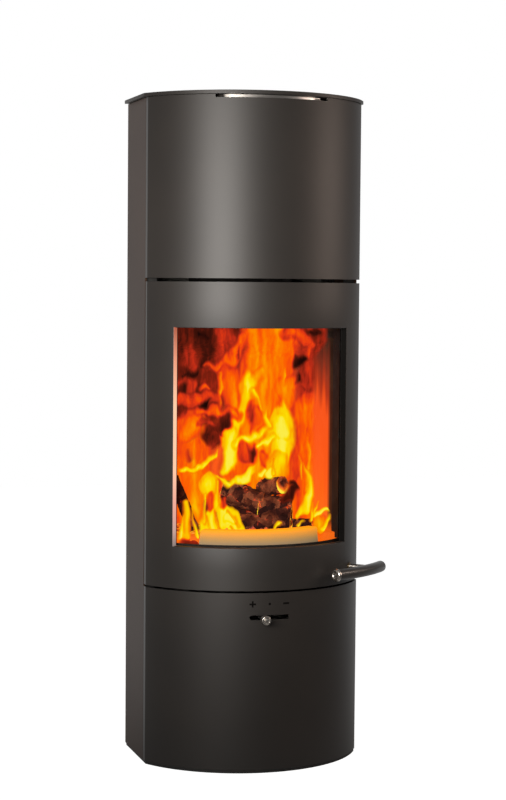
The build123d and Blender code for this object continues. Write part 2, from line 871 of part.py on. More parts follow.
for stone in range(stone_count):
    with BuildPart() as heat_stone:
        with BuildSketch(Plane.XY.offset(shelf_level + stone * stone_step)):
            with Locations((0, stone_y)):
                Rectangle(2 * (firebox_outer_x - stone_side_gap), stone_depth)
        extrude(amount=stone_step - stone_gap)
        chamfer(heat_stone.edges(), stone_chamfer)
    save(heat_stone, f"heat_stone_{stone + 1}")

# Fire door frame: curved skin with bent edges and a deep reveal round the window
window_left = -window_left_angle
window_right = window_right_angle
skin_middle_radius = front_radius - door_skin / 2
reveal_wall_angle = arc_angle(reveal_wall, reveal_inner_radius)
rib_angle_width = arc_angle(rib_width, reveal_inner_radius)
with BuildPart() as door_frame:
    with BuildSketch(Plane.XY.offset(door_bottom)):
        front_cover_plan(door_skin, door_return)
    extrude(amount=door_height)
    with BuildSketch(Plane.XY.offset(window_bottom - reveal_wall)):
        arc_band(
            reveal_inner_radius,
            skin_middle_radius,
            window_left - reveal_wall_angle,
            window_right + reveal_wall_angle,
        )
    extrude(amount=window_top - window_bottom + 2 * reveal_wall)
    with BuildSketch(Plane.XY.offset(window_bottom)):
        arc_band(
            reveal_inner_radius - reveal_wall, front_radius + reveal_wall, window_left, window_right
        )
    extrude(amount=window_top - window_bottom, mode=Mode.SUBTRACT)
    with BuildSketch(radial_plane(front_radius + door_skin, handle_angle, handle_level)):
        Circle(bush_radius + shaft_clearance)
    extrude(amount=-3 * door_skin, mode=Mode.SUBTRACT)
save(door_frame, "door_frame")

# Hinge eyes, welded into the left edge of the door
eye_edge = at_angle(door_inner_radius - eye_edge_radius - weld_gap, hinge_angle)
with BuildPart() as door_hinge_eyes:
    for level in hinge_levels:
        eye_level = level + hinge_thickness + hinge_collar_height + hinge_float
        with BuildSketch(Plane.XY.offset(eye_level)):
            with Locations((hinge_x, hinge_y)):
                Circle(hinge_eye_radius)
            with Locations(eye_edge):
                Circle(eye_edge_radius)
            make_hull()
            with Locations((hinge_x, hinge_y)):
                Circle(hinge_pin_radius + hinge_clearance, mode=Mode.SUBTRACT)
        extrude(amount=hinge_thickness)
save(door_hinge_eyes, "door_hinge_eyes")

# Pane of curved ceramic glass with its seal, and the inner frame round it, whose rim
# meets the door skin
glass_overlap_angle = arc_angle(glass_overlap, glass_outer_radius)
glass_left = window_left - glass_overlap_angle
glass_right = window_right + glass_overlap_angle
glass_bottom = window_bottom - glass_overlap
glass_top = window_top + glass_overlap
with BuildPart() as door_glass:
    with BuildSketch(Plane.XY.offset(glass_bottom)):
        arc_band(glass_inner_radius, glass_outer_radius, glass_left, glass_right)
    extrude(amount=glass_top - glass_bottom)
save(door_glass, "door_glass")

with BuildPart() as glass_seal:
    with BuildSketch(Plane.XY.offset(window_bottom - reveal_wall)):
        arc_band(
            glass_outer_radius + glass_seal_gap,
            reveal_inner_radius,
            window_left - reveal_wall_angle,
            window_right + reveal_wall_angle,
        )
    extrude(amount=window_top - window_bottom + 2 * reveal_wall)
    with BuildSketch(Plane.XY.offset(window_bottom)):
        arc_band(
            glass_outer_radius - reveal_wall, front_radius, window_left, window_right
        )
    extrude(amount=window_top - window_bottom, mode=Mode.SUBTRACT)
save(glass_seal, "glass_seal")

# Places of the clamp screws that hold the pane, as an angle and a level
glass_gap_angle = arc_angle(glass_edge_gap, glass_outer_radius)
clamp_angle_length = arc_angle(clamp_length, glass_inner_radius)
clamp_grip_angle = arc_angle(clamp_grip, glass_inner_radius)
clamp_edges = ((glass_left, -1), (glass_right, 1))
clamp_levels = (
    window_bottom + clamp_end_margin,
    (window_bottom + window_top) / 2,
    window_top - clamp_end_margin,
)
foot_middle = (clamp_angle_length - clamp_grip_angle + 2 * glass_gap_angle) / 2
clamp_screw_places = [
    (edge_angle + side * foot_middle, level) for edge_angle, side in clamp_edges for level in clamp_levels
]

inner_frame_bottom = door_bottom + rib_inset
inner_frame_top = door_top - rib_inset
rim_outer_radius = door_inner_radius - weld_gap
with BuildPart() as door_inner_frame:
    with BuildSketch(Plane.XY.offset(inner_frame_bottom)):
        arc_band(inner_frame_radius, reveal_inner_radius, -rib_angle, rib_angle)
        for edge_angle in (-rib_angle, rib_angle - rib_angle_width):
            arc_band(inner_frame_radius, rim_outer_radius, edge_angle, edge_angle + rib_angle_width)
    extrude(amount=inner_frame_top - inner_frame_bottom)
    for rim_level in (inner_frame_bottom, inner_frame_top - rib_width):
        with BuildSketch(Plane.XY.offset(rim_level)):
            arc_band(inner_frame_radius, rim_outer_radius, -rib_angle, rib_angle)
        extrude(amount=rib_width)
    with BuildSketch(Plane.XY.offset(glass_bottom - glass_edge_gap)):
        arc_band(
            glass_inner_radius,
            front_radius,
            glass_left - glass_gap_angle,
            glass_right + glass_gap_angle,
        )
    extrude(amount=glass_top - glass_bottom + 2 * glass_edge_gap, mode=Mode.SUBTRACT)
    for screw_angle, level in clamp_screw_places:
        with BuildSketch(radial_plane(reveal_inner_radius, screw_angle, level)):
            Circle(clamp_screw_radius + thread_clearance)
        extrude(amount=-2 * inner_frame_thickness, mode=Mode.SUBTRACT)
    with BuildSketch(Plane.XY.offset(handle_level - tongue_drop_room)):
        arc_band(
            reveal_inner_radius,
            door_inner_radius,
            rib_angle - 2 * rib_angle_width,
            rib_angle + rib_angle_width,
        )
    extrude(amount=tongue_drop_room + tongue_width, mode=Mode.SUBTRACT)
save(door_inner_frame, "door_inner_frame")

# Rope seal round the back of the inner frame
rope_radius = frame_outer_radius + rope_gap
rope_outer_angle = rib_angle - arc_angle(rope_inset, inner_frame_radius)
rope_width_angle = arc_angle(rope_width, inner_frame_radius)
rope_bottom = inner_frame_bottom + rope_inset
rope_top = inner_frame_top - rope_inset
with BuildPart() as door_rope:
    with BuildSketch(Plane.XY.offset(rope_bottom)):
        arc_band(rope_radius, inner_frame_radius, -rope_outer_angle, rope_outer_angle)
    extrude(amount=rope_top - rope_bottom)
    with BuildSketch(Plane.XY.offset(rope_bottom + rope_width)):
        arc_band(
            rope_radius - rope_width,
            inner_frame_radius + rope_width,
            -rope_outer_angle + rope_width_angle,
            rope_outer_angle - rope_width_angle,
        )
    extrude(amount=rope_top - rope_bottom - 2 * rope_width, mode=Mode.SUBTRACT)
save(door_rope, "door_rope")

# Clamps that hold the pane against its seal, each with a screw into the inner frame
with BuildPart() as glass_clamps:
    for clamp_level in clamp_levels:
        with BuildSketch(Plane.XY.offset(clamp_level - clamp_height / 2)):
            for edge_angle, side in clamp_edges:
                start = edge_angle - side * clamp_grip_angle
                finish = start + side * clamp_angle_length
                foot = edge_angle + side * 2 * glass_gap_angle
                arc_band(
                    glass_inner_radius - clamp_thickness,
                    glass_inner_radius,
                    min(start, finish),
                    max(start, finish),
                )
                arc_band(
                    glass_inner_radius - clamp_thickness,
                    inner_frame_radius,
                    min(foot, finish),
                    max(foot, finish),
                )
        extrude(amount=clamp_height)
    for screw_angle, level in clamp_screw_places:
        with BuildSketch(radial_plane(reveal_inner_radius, screw_angle, level)):
            Circle(clamp_screw_radius + thread_clearance)
        extrude(amount=-reveal_depth, mode=Mode.SUBTRACT)
save(glass_clamps, "glass_clamps")

clamp_face_radius = glass_inner_radius - clamp_thickness - clamp_screw_seat
with BuildPart() as clamp_screws:
    for screw_angle, level in clamp_screw_places:
        with BuildSketch(radial_plane(clamp_face_radius, screw_angle, level)):
            Circle(clamp_screw_radius)
        extrude(amount=reveal_inner_radius - clamp_face_radius)
        with BuildSketch(radial_plane(clamp_face_radius, screw_angle, level)):
            Circle(clamp_screw_head)
        extrude(amount=-clamp_screw_head_height)
save(clamp_screws, "clamp_screws")

# Hinge brackets on the firebox frame, each with an upright pin for a door eye
with BuildPart() as hinge_brackets:
    for level in hinge_levels:
        with BuildSketch(Plane.XY.offset(level)):
            with Locations((hinge_x, hinge_y)):
                Circle(hinge_eye_radius)
            with Locations(at_angle(frame_outer_radius, -bracket_root_angle)):
                Circle(bracket_root_radius)
            make_hull()
            Circle(frame_outer_radius + weld_gap, mode=Mode.SUBTRACT)
            with Locations((hinge_x, hinge_y)):
                Circle(hinge_pin_radius + hinge_clearance, mode=Mode.SUBTRACT)
        extrude(amount=hinge_thickness)
save(hinge_brackets, "hinge_brackets")

with BuildPart() as hinge_pins:
    for level in hinge_levels:
        with BuildSketch(Plane.XY.offset(level)):
            with Locations((hinge_x, hinge_y)):
                Circle(hinge_pin_radius)
        extrude(amount=2 * hinge_thickness + hinge_collar_height + hinge_float + hinge_pin_top)
        with BuildSketch(Plane.XY.offset(level + hinge_thickness)):
            with Locations((hinge_x, hinge_y)):
                Circle(hinge_collar_radius)
        extrude(amount=hinge_collar_height)
save(hinge_pins, "hinge_pins")

# Handle: a bent round bar with a polished cap, on a shaft that turns in the door
shaft_inner_radius = reveal_inner_radius + shaft_end_gap
bar_start_radius = front_radius + handle_start_gap + handle_bar_radius
bar_start_x, bar_start_y = at_angle(bar_start_radius, handle_start_angle)
bar_start = (bar_start_x, bar_start_y, handle_bar_level)
bar_heading = (cos(radians(handle_start_heading_angle)), sin(radians(handle_start_heading_angle)), 0)
bar_centre = (
    bar_start_x - handle_bend_radius * sin(radians(handle_start_heading_angle)),
    bar_start_y + handle_bend_radius * cos(radians(handle_start_heading_angle)),
)
bar_offset_along = bar_centre[0] * sin(radians(handle_angle)) - bar_centre[1] * cos(radians(handle_angle))
bar_offset_across = bar_centre[0] * cos(radians(handle_angle)) + bar_centre[1] * sin(radians(handle_angle))
shaft_outer_radius = bar_offset_along + sqrt(handle_bend_radius ** 2 - bar_offset_across ** 2)
with BuildPart() as handle_shaft:
    with BuildSketch(radial_plane(shaft_inner_radius, handle_angle, handle_level)):
        Circle(handle_shaft_radius)
    extrude(amount=shaft_outer_radius - shaft_inner_radius)
save(handle_shaft, "handle_shaft")

with BuildPart() as handle_bar:
    with BuildLine():
        JernArc(start=bar_start, tangent=bar_heading, radius=handle_bend_radius, arc_size=handle_sweep_angle)
    with BuildSketch(Plane(origin=bar_start, z_dir=bar_heading)):
        Circle(handle_bar_radius)
    sweep()
    bar_far_end = handle_bar.faces().filter_by(GeomType.PLANE).sort_by(Axis.X)[-1]
    fillet(bar_far_end.edges(), handle_end_rounding)
    with BuildSketch(radial_plane(shaft_inner_radius, handle_angle, handle_level)):
        Circle(handle_shaft_radius + shaft_clearance)
    extrude(amount=shaft_outer_radius - shaft_inner_radius + shaft_clearance, mode=Mode.SUBTRACT)
save(handle_bar, "handle_bar")

with BuildPart() as handle_end_cap:
    with BuildSketch(Plane(origin=bar_start, z_dir=tuple(-part for part in bar_heading))):
        Circle(handle_cap_radius)
    extrude(amount=handle_cap_thickness)
    chamfer(handle_end_cap.edges().sort_by(Axis.X)[0], handle_cap_chamfer)
save(handle_end_cap, "handle_end_cap")

# Bush that carries the handle shaft in the door skin
with BuildPart() as handle_bush:
    with BuildSketch(radial_plane(door_inner_radius, handle_angle, handle_level)):
        Circle(bush_radius)
        Circle(handle_shaft_radius + shaft_clearance, mode=Mode.SUBTRACT)
    extrude(amount=door_skin + bush_flange)
save(handle_bush, "handle_bush")

# Latch tongue on the inner end of the shaft, bent to follow the door skin
tongue_outer_radius = door_inner_radius - tongue_face_gap
with BuildPart() as latch_tongue:
    with BuildSketch(Plane.XY.offset(handle_level - tongue_width / 2)):
        arc_band(
            tongue_outer_radius - tongue_thickness,
            tongue_outer_radius,
            handle_angle - arc_angle(tongue_width / 2, tongue_outer_radius),
            tongue_end_angle,
        )
    extrude(amount=tongue_width)
    with BuildSketch(radial_plane(tongue_outer_radius + tongue_hole_margin, handle_angle, handle_level)):
        Circle(handle_shaft_radius + thread_clearance)
    extrude(amount=-tongue_thickness - 2 * tongue_hole_margin, mode=Mode.SUBTRACT)
save(latch_tongue, "latch_tongue")

# Keeper on the right front post: a plate beside the tip of the tongue, with a lip above it
keeper_bottom = handle_level - keeper_drop
keeper_x = tongue_outer_radius * sin(radians(tongue_end_angle)) + keeper_gap
keeper_far_x = keeper_x + keeper_thickness
lip_radius = door_inner_radius - keeper_front_gap
lip_far_angle = degrees(asin(keeper_far_x / lip_radius))
lip_level = handle_level + tongue_width / 2 + keeper_lip_gap
with BuildPart() as latch_keeper:
    with BuildSketch(Plane.XY.offset(keeper_bottom)):
        rectangle_between(keeper_x, keeper_far_x, at_angle(lip_radius, lip_far_angle)[1], front_post_y)
    extrude(amount=keeper_height)
    with BuildSketch(Plane.XY.offset(lip_level)):
        arc_band(lip_radius - keeper_lip_thickness, lip_radius, keeper_lip_angle, lip_far_angle)
    extrude(amount=keeper_bottom + keeper_height - lip_level)
save(latch_keeper, "latch_keeper")

# Air box under the firebox, with a ring of ports in its floor
lever_level = air_slot_level - air_lever_thickness / 2
valve_level = lever_level + air_lever_thickness
air_box_level = valve_level + valve_thickness + valve_gap
with BuildPart() as air_box:
    with BuildSketch(Plane.XY.offset(air_box_level)):
        Rectangle(air_box_width, 2 * (rear_panel_y - air_box_rear_gap))
    extrude(amount=wall_base - air_box_level)
    offset(amount=-air_box_wall, openings=air_box.faces().sort_by(Axis.Z)[-1])
    with BuildSketch(Plane.XY.offset(air_box_level)):
        Circle(pivot_radius + thread_clearance)
        with PolarLocations(port_circle, port_count):
            SlotOverall(port_length, port_width)
    extrude(amount=air_box_wall, mode=Mode.SUBTRACT)
save(air_box, "air_box")

# Rotary valve disc under the air box, the lever that turns it, and their pivot
with BuildPart() as air_valve_disc:
    with BuildSketch(Plane.XY.offset(valve_level)):
        Circle(valve_radius)
        Circle(pivot_radius + hinge_clearance, mode=Mode.SUBTRACT)
        with PolarLocations(port_circle, port_count):
            SlotOverall(port_length, port_width, mode=Mode.SUBTRACT)
    extrude(amount=valve_thickness)
save(air_valve_disc, "air_valve_disc")

lever_reach = front_radius + air_lever_end_gap
lever_length = lever_reach + air_lever_inner
with BuildPart() as air_lever:
    with BuildSketch(Plane.XY.offset(lever_level)):
        with Locations(Location((0, 0), -air_lever_angle)):
            with Locations((0, air_lever_inner - lever_length / 2)):
                RectangleRounded(
                    air_lever_width, lever_length, (air_lever_width - air_lever_end_flat) / 2
                )
        Circle(air_lever_width)
        Circle(pivot_radius + hinge_clearance, mode=Mode.SUBTRACT)
    extrude(amount=air_lever_thickness)
save(air_lever, "air_lever")

pivot_top = air_box_level + air_box_wall + pivot_nut_height + pivot_end_length
with BuildPart() as air_pivot_bolt:
    with BuildSketch(Plane.XY.offset(lever_level - valve_gap)):
        RegularPolygon(pivot_head_radius, 6)
    extrude(amount=-pivot_head_height)
    with BuildSketch(Plane.XY.offset(lever_level - valve_gap)):
        Circle(pivot_radius)
    extrude(amount=pivot_top - lever_level + valve_gap)
    with BuildSketch(Plane.XY.offset(air_box_level + air_box_wall)):
        RegularPolygon(pivot_head_radius, 6)
        Circle(pivot_radius + thread_clearance, mode=Mode.SUBTRACT)
    extrude(amount=pivot_nut_height)
save(air_pivot_bolt, "air_pivot_bolt")

# Polished knob on a thin stem at the end of the lever
knob_start = front_radius + knob_standoff
with BuildPart() as air_knob:
    with BuildSketch(radial_plane(lever_reach, -air_lever_angle, air_slot_level)):
        Circle(knob_stem_radius)
    extrude(amount=knob_start - lever_reach + knob_length / 2)
    with BuildSketch(radial_plane(knob_start, -air_lever_angle, air_slot_level)):
        Circle(knob_radius)
    extrude(amount=knob_length)
    knob_rims = air_knob.edges().filter_by(GeomType.CIRCLE).sort_by(Axis.Y)
    chamfer(knob_rims[0], knob_chamfer)
    with BuildSketch(radial_plane(knob_start + knob_length, -air_lever_angle, air_slot_level)):
        Circle(knob_groove_outer)
        Circle(knob_groove_inner, mode=Mode.SUBTRACT)
    extrude(amount=-knob_groove_depth, mode=Mode.SUBTRACT)
save(air_knob, "air_knob")
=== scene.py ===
import math

import bmesh
import bpy
import numpy as np
from mathutils import Matrix


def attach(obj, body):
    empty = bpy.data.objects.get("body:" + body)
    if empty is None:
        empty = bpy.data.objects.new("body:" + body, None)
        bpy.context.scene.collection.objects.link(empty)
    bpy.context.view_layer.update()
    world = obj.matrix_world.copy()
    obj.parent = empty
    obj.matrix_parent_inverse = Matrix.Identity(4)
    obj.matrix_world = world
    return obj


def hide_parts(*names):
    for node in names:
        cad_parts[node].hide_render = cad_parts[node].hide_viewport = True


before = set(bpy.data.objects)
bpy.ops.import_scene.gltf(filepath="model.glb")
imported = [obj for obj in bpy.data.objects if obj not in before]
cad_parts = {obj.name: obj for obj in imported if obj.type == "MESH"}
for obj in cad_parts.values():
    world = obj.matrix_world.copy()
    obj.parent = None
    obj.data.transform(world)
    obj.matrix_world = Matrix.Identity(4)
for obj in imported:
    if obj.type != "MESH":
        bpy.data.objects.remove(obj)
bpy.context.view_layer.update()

# Base plate, corner posts and cover tabs
# Folded and laser-cut mild steel under a thin black primer. They carry the whole stove and
# are only seen from below, from behind and through the gaps between the covers.


def linear(code):
    """A six-digit screen colour as the linear colour that shaders take."""
    parts = [int(code[at:at + 2], 16) / 255 for at in (0, 2, 4)]
    parts = [part / 12.92 if part < 0.04045 else ((part + 0.055) / 1.055) ** 2.4 for part in parts]
    return (*parts, 1.0)


def add(tree, kind, values=None, links=None, stops=None, **options):
    """Adds a node with its options, its fixed inputs, its linked inputs and its ramp stops. A
    node that is linked gives its first output. Inputs go by name or number: 1 to 4 of a MapRange
    are the ends of the range that it reads and of the range that it gives."""
    node = tree.nodes.new("ShaderNode" + kind)
    for option, value in options.items():
        setattr(node, option, value)
    for socket, value in (values or {}).items():
        node.inputs[socket].default_value = value
    for socket, source in (links or {}).items():
        output = source.outputs[0] if isinstance(source, bpy.types.Node) else source
        tree.links.new(output, node.inputs[socket])
    if stops:
        ramp = node.color_ramp
        ramp.elements[0].position, ramp.elements[0].color = stops[0][0], linear(stops[0][1])
        ramp.elements[1].position, ramp.elements[1].color = stops[-1][0], linear(stops[-1][1])
        for place, code in stops[1:-1]:
            ramp.elements.new(place).color = linear(code)
    return node


def blank(name):
    """A new material with an empty node tree, and that tree."""
    surface = bpy.data.materials.new(name)
    surface.use_nodes = True
    surface.node_tree.nodes.clear()
    return surface, surface.node_tree


def patterned(name):
    """A new material, its tree and, for its patterns, the object's own coordinates."""
    surface, tree = blank(name)
    return surface, tree, add(tree, "TexCoord").outputs["Object"]


def dress(names, surface):
    """Gives CAD nodes a material."""
    for name in names:
        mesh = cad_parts[name].data
        mesh.materials.clear()
        mesh.materials.append(surface)


def clouded_finish(name, scale, tones, coat_values, detail=2.0, mottling=0.5, shine=None, relief=None):
    """A finish whose tone wavers in clouds of about 1/scale metres. shine gives the roughness
    from the dark clouds to the pale ones, and relief the scale, detail, strength and depth of
    a bump."""
    surface, tree, place = patterned(name)
    cloud = add(
        tree, "TexNoise", {"Scale": scale, "Detail": detail, "Roughness": mottling}, {"Vector": place}
    )
    tone = add(tree, "ValToRGB", links={0: cloud}, stops=tones)
    patterns = {"Base Color": tone}
    if shine:
        dark, pale = shine
        patterns["Roughness"] = add(tree, "MapRange", {3: dark, 4: pale}, {0: cloud})
    if relief:
        grit, grit_detail, strength, depth = relief
        grain = add(tree, "TexNoise", {"Scale": grit, "Detail": grit_detail}, {"Vector": place})
        patterns["Normal"] = add(tree, "Bump", {"Strength": strength, "Distance": depth}, {"Height": grain})
    coat = add(tree, "BsdfPrincipled", coat_values, patterns)
    add(tree, "OutputMaterial", links={0: coat})
    return surface


# Primed steel: dull grey-black with faint cloudy patches.
primed_steel = clouded_finish(
    "primed_steel", 18, [(0.3, "161615"), (0.7, "1e1d1c")],
    {"Roughness": 0.6, "Specular IOR Level": 0.3}, detail=4,
)
dress(
    ["base_plate", "front_left_post", "front_right_post", "rear_left_post", "rear_right_post",
     "cover_tabs", "stone_shelf", "air_box", "air_lever"],
    primed_steel,
)

# Screws, bolts and hinge pins
# Turned and zinc-plated steel fasteners: levelling screws, panel and clamp screws, the
# valve's pivot, the hinge pins and the latch parts.

# Zinc plating: pale bluish metal, a little worn and uneven.
zinc_plating = clouded_finish(
    "zinc_plating", 160, [(0.3, "9b9c9a"), (0.7, "b9bab6")], {"Metallic": 1.0}, detail=3,
    shine=(0.28, 0.45),
)
dress(
    ["levelling_screws", "rear_panel_screws", "clamp_screws", "hinge_pins", "air_pivot_bolt",
     "latch_tongue", "latch_keeper", "air_valve_disc"],
    zinc_plating,
)

# Welded firebox and smoke dome
# Steel plate under black heat-proof paint that has gone grey with soot: walls, floors, the
# curved front frame with the fire's mouth, baffle plate, rails, dome and hinge brackets.

# Sooted paint: nearly black, dusted with ash in soft patches.
sooted_paint = clouded_finish(
    "sooted_paint", 30, [(0.35, "141312"), (0.55, "1d1b1a"), (0.8, "2b2826")],
    {"Roughness": 0.75, "Specular IOR Level": 0.15}, detail=6, mottling=0.6,
)
dress(
    ["firebox_left_wall", "firebox_right_wall", "firebox_back_wall", "firebox_bottom",
     "firebox_floor", "firebox_top", "front_frame", "smoke_dome", "baffle_rails", "upper_baffle",
     "hinge_brackets", "door_hinge_eyes", "door_inner_frame", "glass_clamps"],
    sooted_paint,
)

# Flue collar
# A turned steel ring through the rear panel that steps down to the spigot for the pipe,
# all in the firebox's paint.


def piece(name, points, surface, body, stands_for=(), wrap=(False, False), keep=None,
          thickness=0.0, edge=0.0, values=None):
    """Makes a piece over a grid of points. Rows run along it and columns across, and the face
    looks along rows x columns. keep marks the cells that stay, and values are numbers per point."""
    rows, columns = points.shape[:2]
    index = np.arange(rows * columns).reshape(rows, columns)
    if wrap[0]:
        index = np.concatenate([index, index[:1]])
    if wrap[1]:
        index = np.concatenate([index, index[:, :1]], axis=1)
    cells = np.stack([index[:-1, :-1], index[1:, :-1], index[1:, 1:], index[:-1, 1:]], axis=-1)
    cells = cells.reshape(-1, 4) if keep is None else cells[keep]
    used, cells = np.unique(cells, return_inverse=True)
    mesh = bpy.data.meshes.new(name)
    mesh.from_pydata(points.reshape(-1, 3)[used], [], cells.reshape(-1, 4))
    for label, numbers in (values or {}).items():
        layer = mesh.attributes.new(label, "FLOAT", "POINT")
        layer.data.foreach_set("value", numbers.reshape(-1)[used].astype(np.float32))
    shape = bmesh.new()
    shape.from_mesh(mesh)
    bmesh.ops.remove_doubles(shape, verts=shape.verts, dist=1e-6)
    shape.to_mesh(mesh)
    shape.free()
    mesh.materials.append(surface)
    mesh.shade_smooth()
    mesh.set_sharp_from_angle(angle=math.radians(38))
    made = bpy.data.objects.new(name, mesh)
    bpy.context.scene.collection.objects.link(made)
    if thickness:
        solid = made.modifiers.new("thickness", "SOLIDIFY")
        solid.thickness = thickness
        solid.offset = -1
        solid.use_even_offset = True
    if edge:
        rounding = made.modifiers.new("edge", "BEVEL")
        rounding.width = edge
        rounding.segments = 2
        rounding.limit_method = "ANGLE"
        rounding.angle_limit = math.radians(38)
        rounding.harden_normals = True
    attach(made, body)
    if stands_for:
        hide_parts(*stands_for)


def turned(profile, start, axis, steps=64):
    """Points of a turned shape: each (along, radius) of the profile goes round the axis."""
    axis = np.array(axis, float)
    axis /= np.linalg.norm(axis)
    side = np.cross(axis, (0.0, 0.0, 1.0) if abs(axis[2]) < 0.9 else (1.0, 0.0, 0.0))
    side /= np.linalg.norm(side)
    round_angle = np.linspace(0, 2 * math.pi, steps, endpoint=False)[:, None, None]
    outward = np.cos(round_angle) * side + np.sin(round_angle) * np.cross(axis, side)
    along, radius = np.array(profile, float).T[:, None, :, None]
    return np.array(start) + along * axis + radius * outward


collar_profile = [
    (-0.0290, 0.0715), (0.0400, 0.0715), (0.0400, 0.0737), (0.0392, 0.0745),
    (0.0000, 0.0745), (0.0000, 0.0757), (-0.0008, 0.0765), (-0.0290, 0.0765),
]
piece(
    "flue_collar_turned", turned(collar_profile[::-1], (0, 0.0624, 1.165), (0, 1, 0), 96),
    sooted_paint, "stove_body", ["flue_collar"], wrap=(True, True),
)

# Firebrick lining and lower baffle
# Pressed vermiculite boards, cream where clean and dark where smoke has been. The fire
# stands against them, and its light is painted on them: painted firelight glows on the lower
# part, and the upper part sinks into brown.


def in_sight(tree):
    """1 for rays from the eye and from mirrors, 0 for the rays that light other things."""
    ray = add(tree, "LightPath")
    return add(
        tree, "Math", links={0: ray.outputs["Is Camera Ray"], 1: ray.outputs["Is Glossy Ray"]},
        operation="MAXIMUM",
    )


def finish_with_glow_and_painted_light(surface, coat, glow_and_painted_firelight, strength=None):
    """Ends a material with a coat that also gives off colour, to the eye alone or by a strength of its own:
    the charcoal's and embers' own glow, and painted firelight on the bricks, the retainer and the door.
    """
    tree = surface.node_tree
    strength = strength or add(tree, "LightPath").outputs["Is Camera Ray"]
    light = add(tree, "Emission", links={"Color": glow_and_painted_firelight, "Strength": strength})
    both = add(tree, "AddShader", links={0: coat, 1: light})
    end = tree.nodes.get("Material Output") or add(tree, "OutputMaterial")
    tree.links.new(both.outputs[0], end.inputs[0])


# Hot firebrick: the cream board under dark sooty clouds, with painted firelight: an orange-red glow painted
# on low down that fades to brown higher up, with upright streaks.
brick_with_painted_firelight = clouded_finish(
    "firebrick_painted_firelight", 14, [(0.3, "1a100a"), (0.5, "291b11"), (0.75, "3c2b1c")],
    {"Roughness": 0.95, "Specular IOR Level": 0.1}, detail=5, mottling=0.6, relief=(900, 2, 0.3, 0.0006),
)
# Painted firelight: an emitted glow seen by the eye and in reflections, full over the lining's depth and
# faint at its front edges except near the floor.
tree = brick_with_painted_firelight.node_tree
place = add(tree, "TexCoord").outputs["Object"]
axes = add(tree, "SeparateXYZ", links={0: place})
stretch = add(tree, "Mapping", {"Scale": (24, 24, 2.6)}, {"Vector": place})
streak = add(tree, "TexNoise", {"Scale": 1.0, "Detail": 2}, {"Vector": stretch})
height = add(tree, "MapRange", {1: 0.50, 2: 0.96}, {0: axes.outputs[2]})
waver = add(tree, "MapRange", {1: 0.3, 2: 0.7, 3: 0.11, 4: -0.11}, {0: streak})
level = add(tree, "Math", links={0: height, 1: waver}, operation="ADD")
glow_and_painted_firelight = add(
    tree, "ValToRGB", links={0: level},
    stops=[(0.0, "ff6c0a"), (0.3, "ff5a0e"), (0.6, "f8500e"), (0.72, "b4300f"), (0.86, "78200f"),
           (1.0, "3c120a")],
)
seen = in_sight(tree)
depth = add(tree, "MapRange", {1: -0.112, 2: -0.092, 3: 0.03}, {0: axes.outputs[1]})
bottom = add(tree, "MapRange", {1: 0.512, 2: 0.540, 3: 1.0, 4: 0.0}, {0: axes.outputs[2]})
glowing_and_firelit = add(tree, "Math", links={0: depth, 1: bottom}, operation="MAXIMUM")
amount = add(tree, "Math", links={0: seen, 1: glowing_and_firelit}, operation="MULTIPLY")
finish_with_glow_and_painted_light(brick_with_painted_firelight, tree.nodes["Principled BSDF"], glow_and_painted_firelight, amount)
dress(["left_liner", "right_liner", "back_liner", "floor_bricks"], brick_with_painted_firelight)

# Smoked firebrick: the same board over the fire, brown-black from smoke.
smoked_brick = clouded_finish(
    "smoked_firebrick", 20, [(0.35, "1f1512"), (0.7, "4a362b")],
    {"Roughness": 0.95, "Specular IOR Level": 0.1}, detail=5, mottling=0.6,
)
dress(["lower_baffle"], smoked_brick)

# Grate and ash pan
# The grate is rough cast iron. The ash pan under it is folded from bright galvanised sheet
# that has dulled with heat.

# Cast iron: brown-black with a sandy skin.
cast_iron = clouded_finish(
    "cast_iron", 700, [(0.3, "241d1a"), (0.7, "3a2f2a")],
    {"Roughness": 0.7, "Specular IOR Level": 0.3}, detail=3,
    relief=(700, 3, 0.6, 0.0008),
)
dress(["grate"], cast_iron)

# Galvanised sheet: grey metal with zinc flowers of different brightness.
galvanised, tree, place = patterned("galvanised_sheet")
flower = add(tree, "TexVoronoi", {"Scale": 110}, {"Vector": place})
grey = add(tree, "SeparateColor", links={0: flower.outputs["Color"]})
tone = add(tree, "ValToRGB", links={0: grey}, stops=[(0.0, "85878a"), (1.0, "a5a7a8")])
shine = add(tree, "MapRange", {3: 0.38, 4: 0.55}, {0: grey.outputs[1]})
coat = add(tree, "BsdfPrincipled", {"Metallic": 1.0}, {"Base Color": tone, "Roughness": shine})
add(tree, "OutputMaterial", links={0: coat})
dress(["ash_pan"], galvanised)

# Log retainer
# A curved bar of pale pressed vermiculite in front of the fire, 25 mm deep and 39 mm high,
# laid loose on the firebox floor, with its top ends cut away at a slant.
RETAINER_OUTER = 0.228
RETAINER_INNER = 0.203
RETAINER_END = math.radians(38)
RETAINER_BOTTOM = 0.494
RETAINER_TOP = 0.533
RETAINER_CUT = 0.008


def rounded_section(x0, x1, y0, y1, radius, steps=4):
    """A rectangle with round corners as points, counter-clockwise from its lower right corner."""
    quarter = np.linspace(0, math.pi / 2, steps)
    corners = ((x1 - radius, y0 + radius, -90), (x1 - radius, y1 - radius, 0),
               (x0 + radius, y1 - radius, 90), (x0 + radius, y0 + radius, 180))
    return np.concatenate([
        np.stack([x + radius * np.cos(quarter + math.radians(turn)),
                  y + radius * np.sin(quarter + math.radians(turn))], axis=1)
        for x, y, turn in corners
    ])


def round_axis(radius, angle, *height):
    """Points at a radius from the stove's upright axis and an angle to the right of straight
    ahead: radius x sine, minus radius x cosine and, where it is given, the height."""
    return np.stack(np.broadcast_arrays(radius * np.sin(angle), -radius * np.cos(angle), *height), axis=-1)


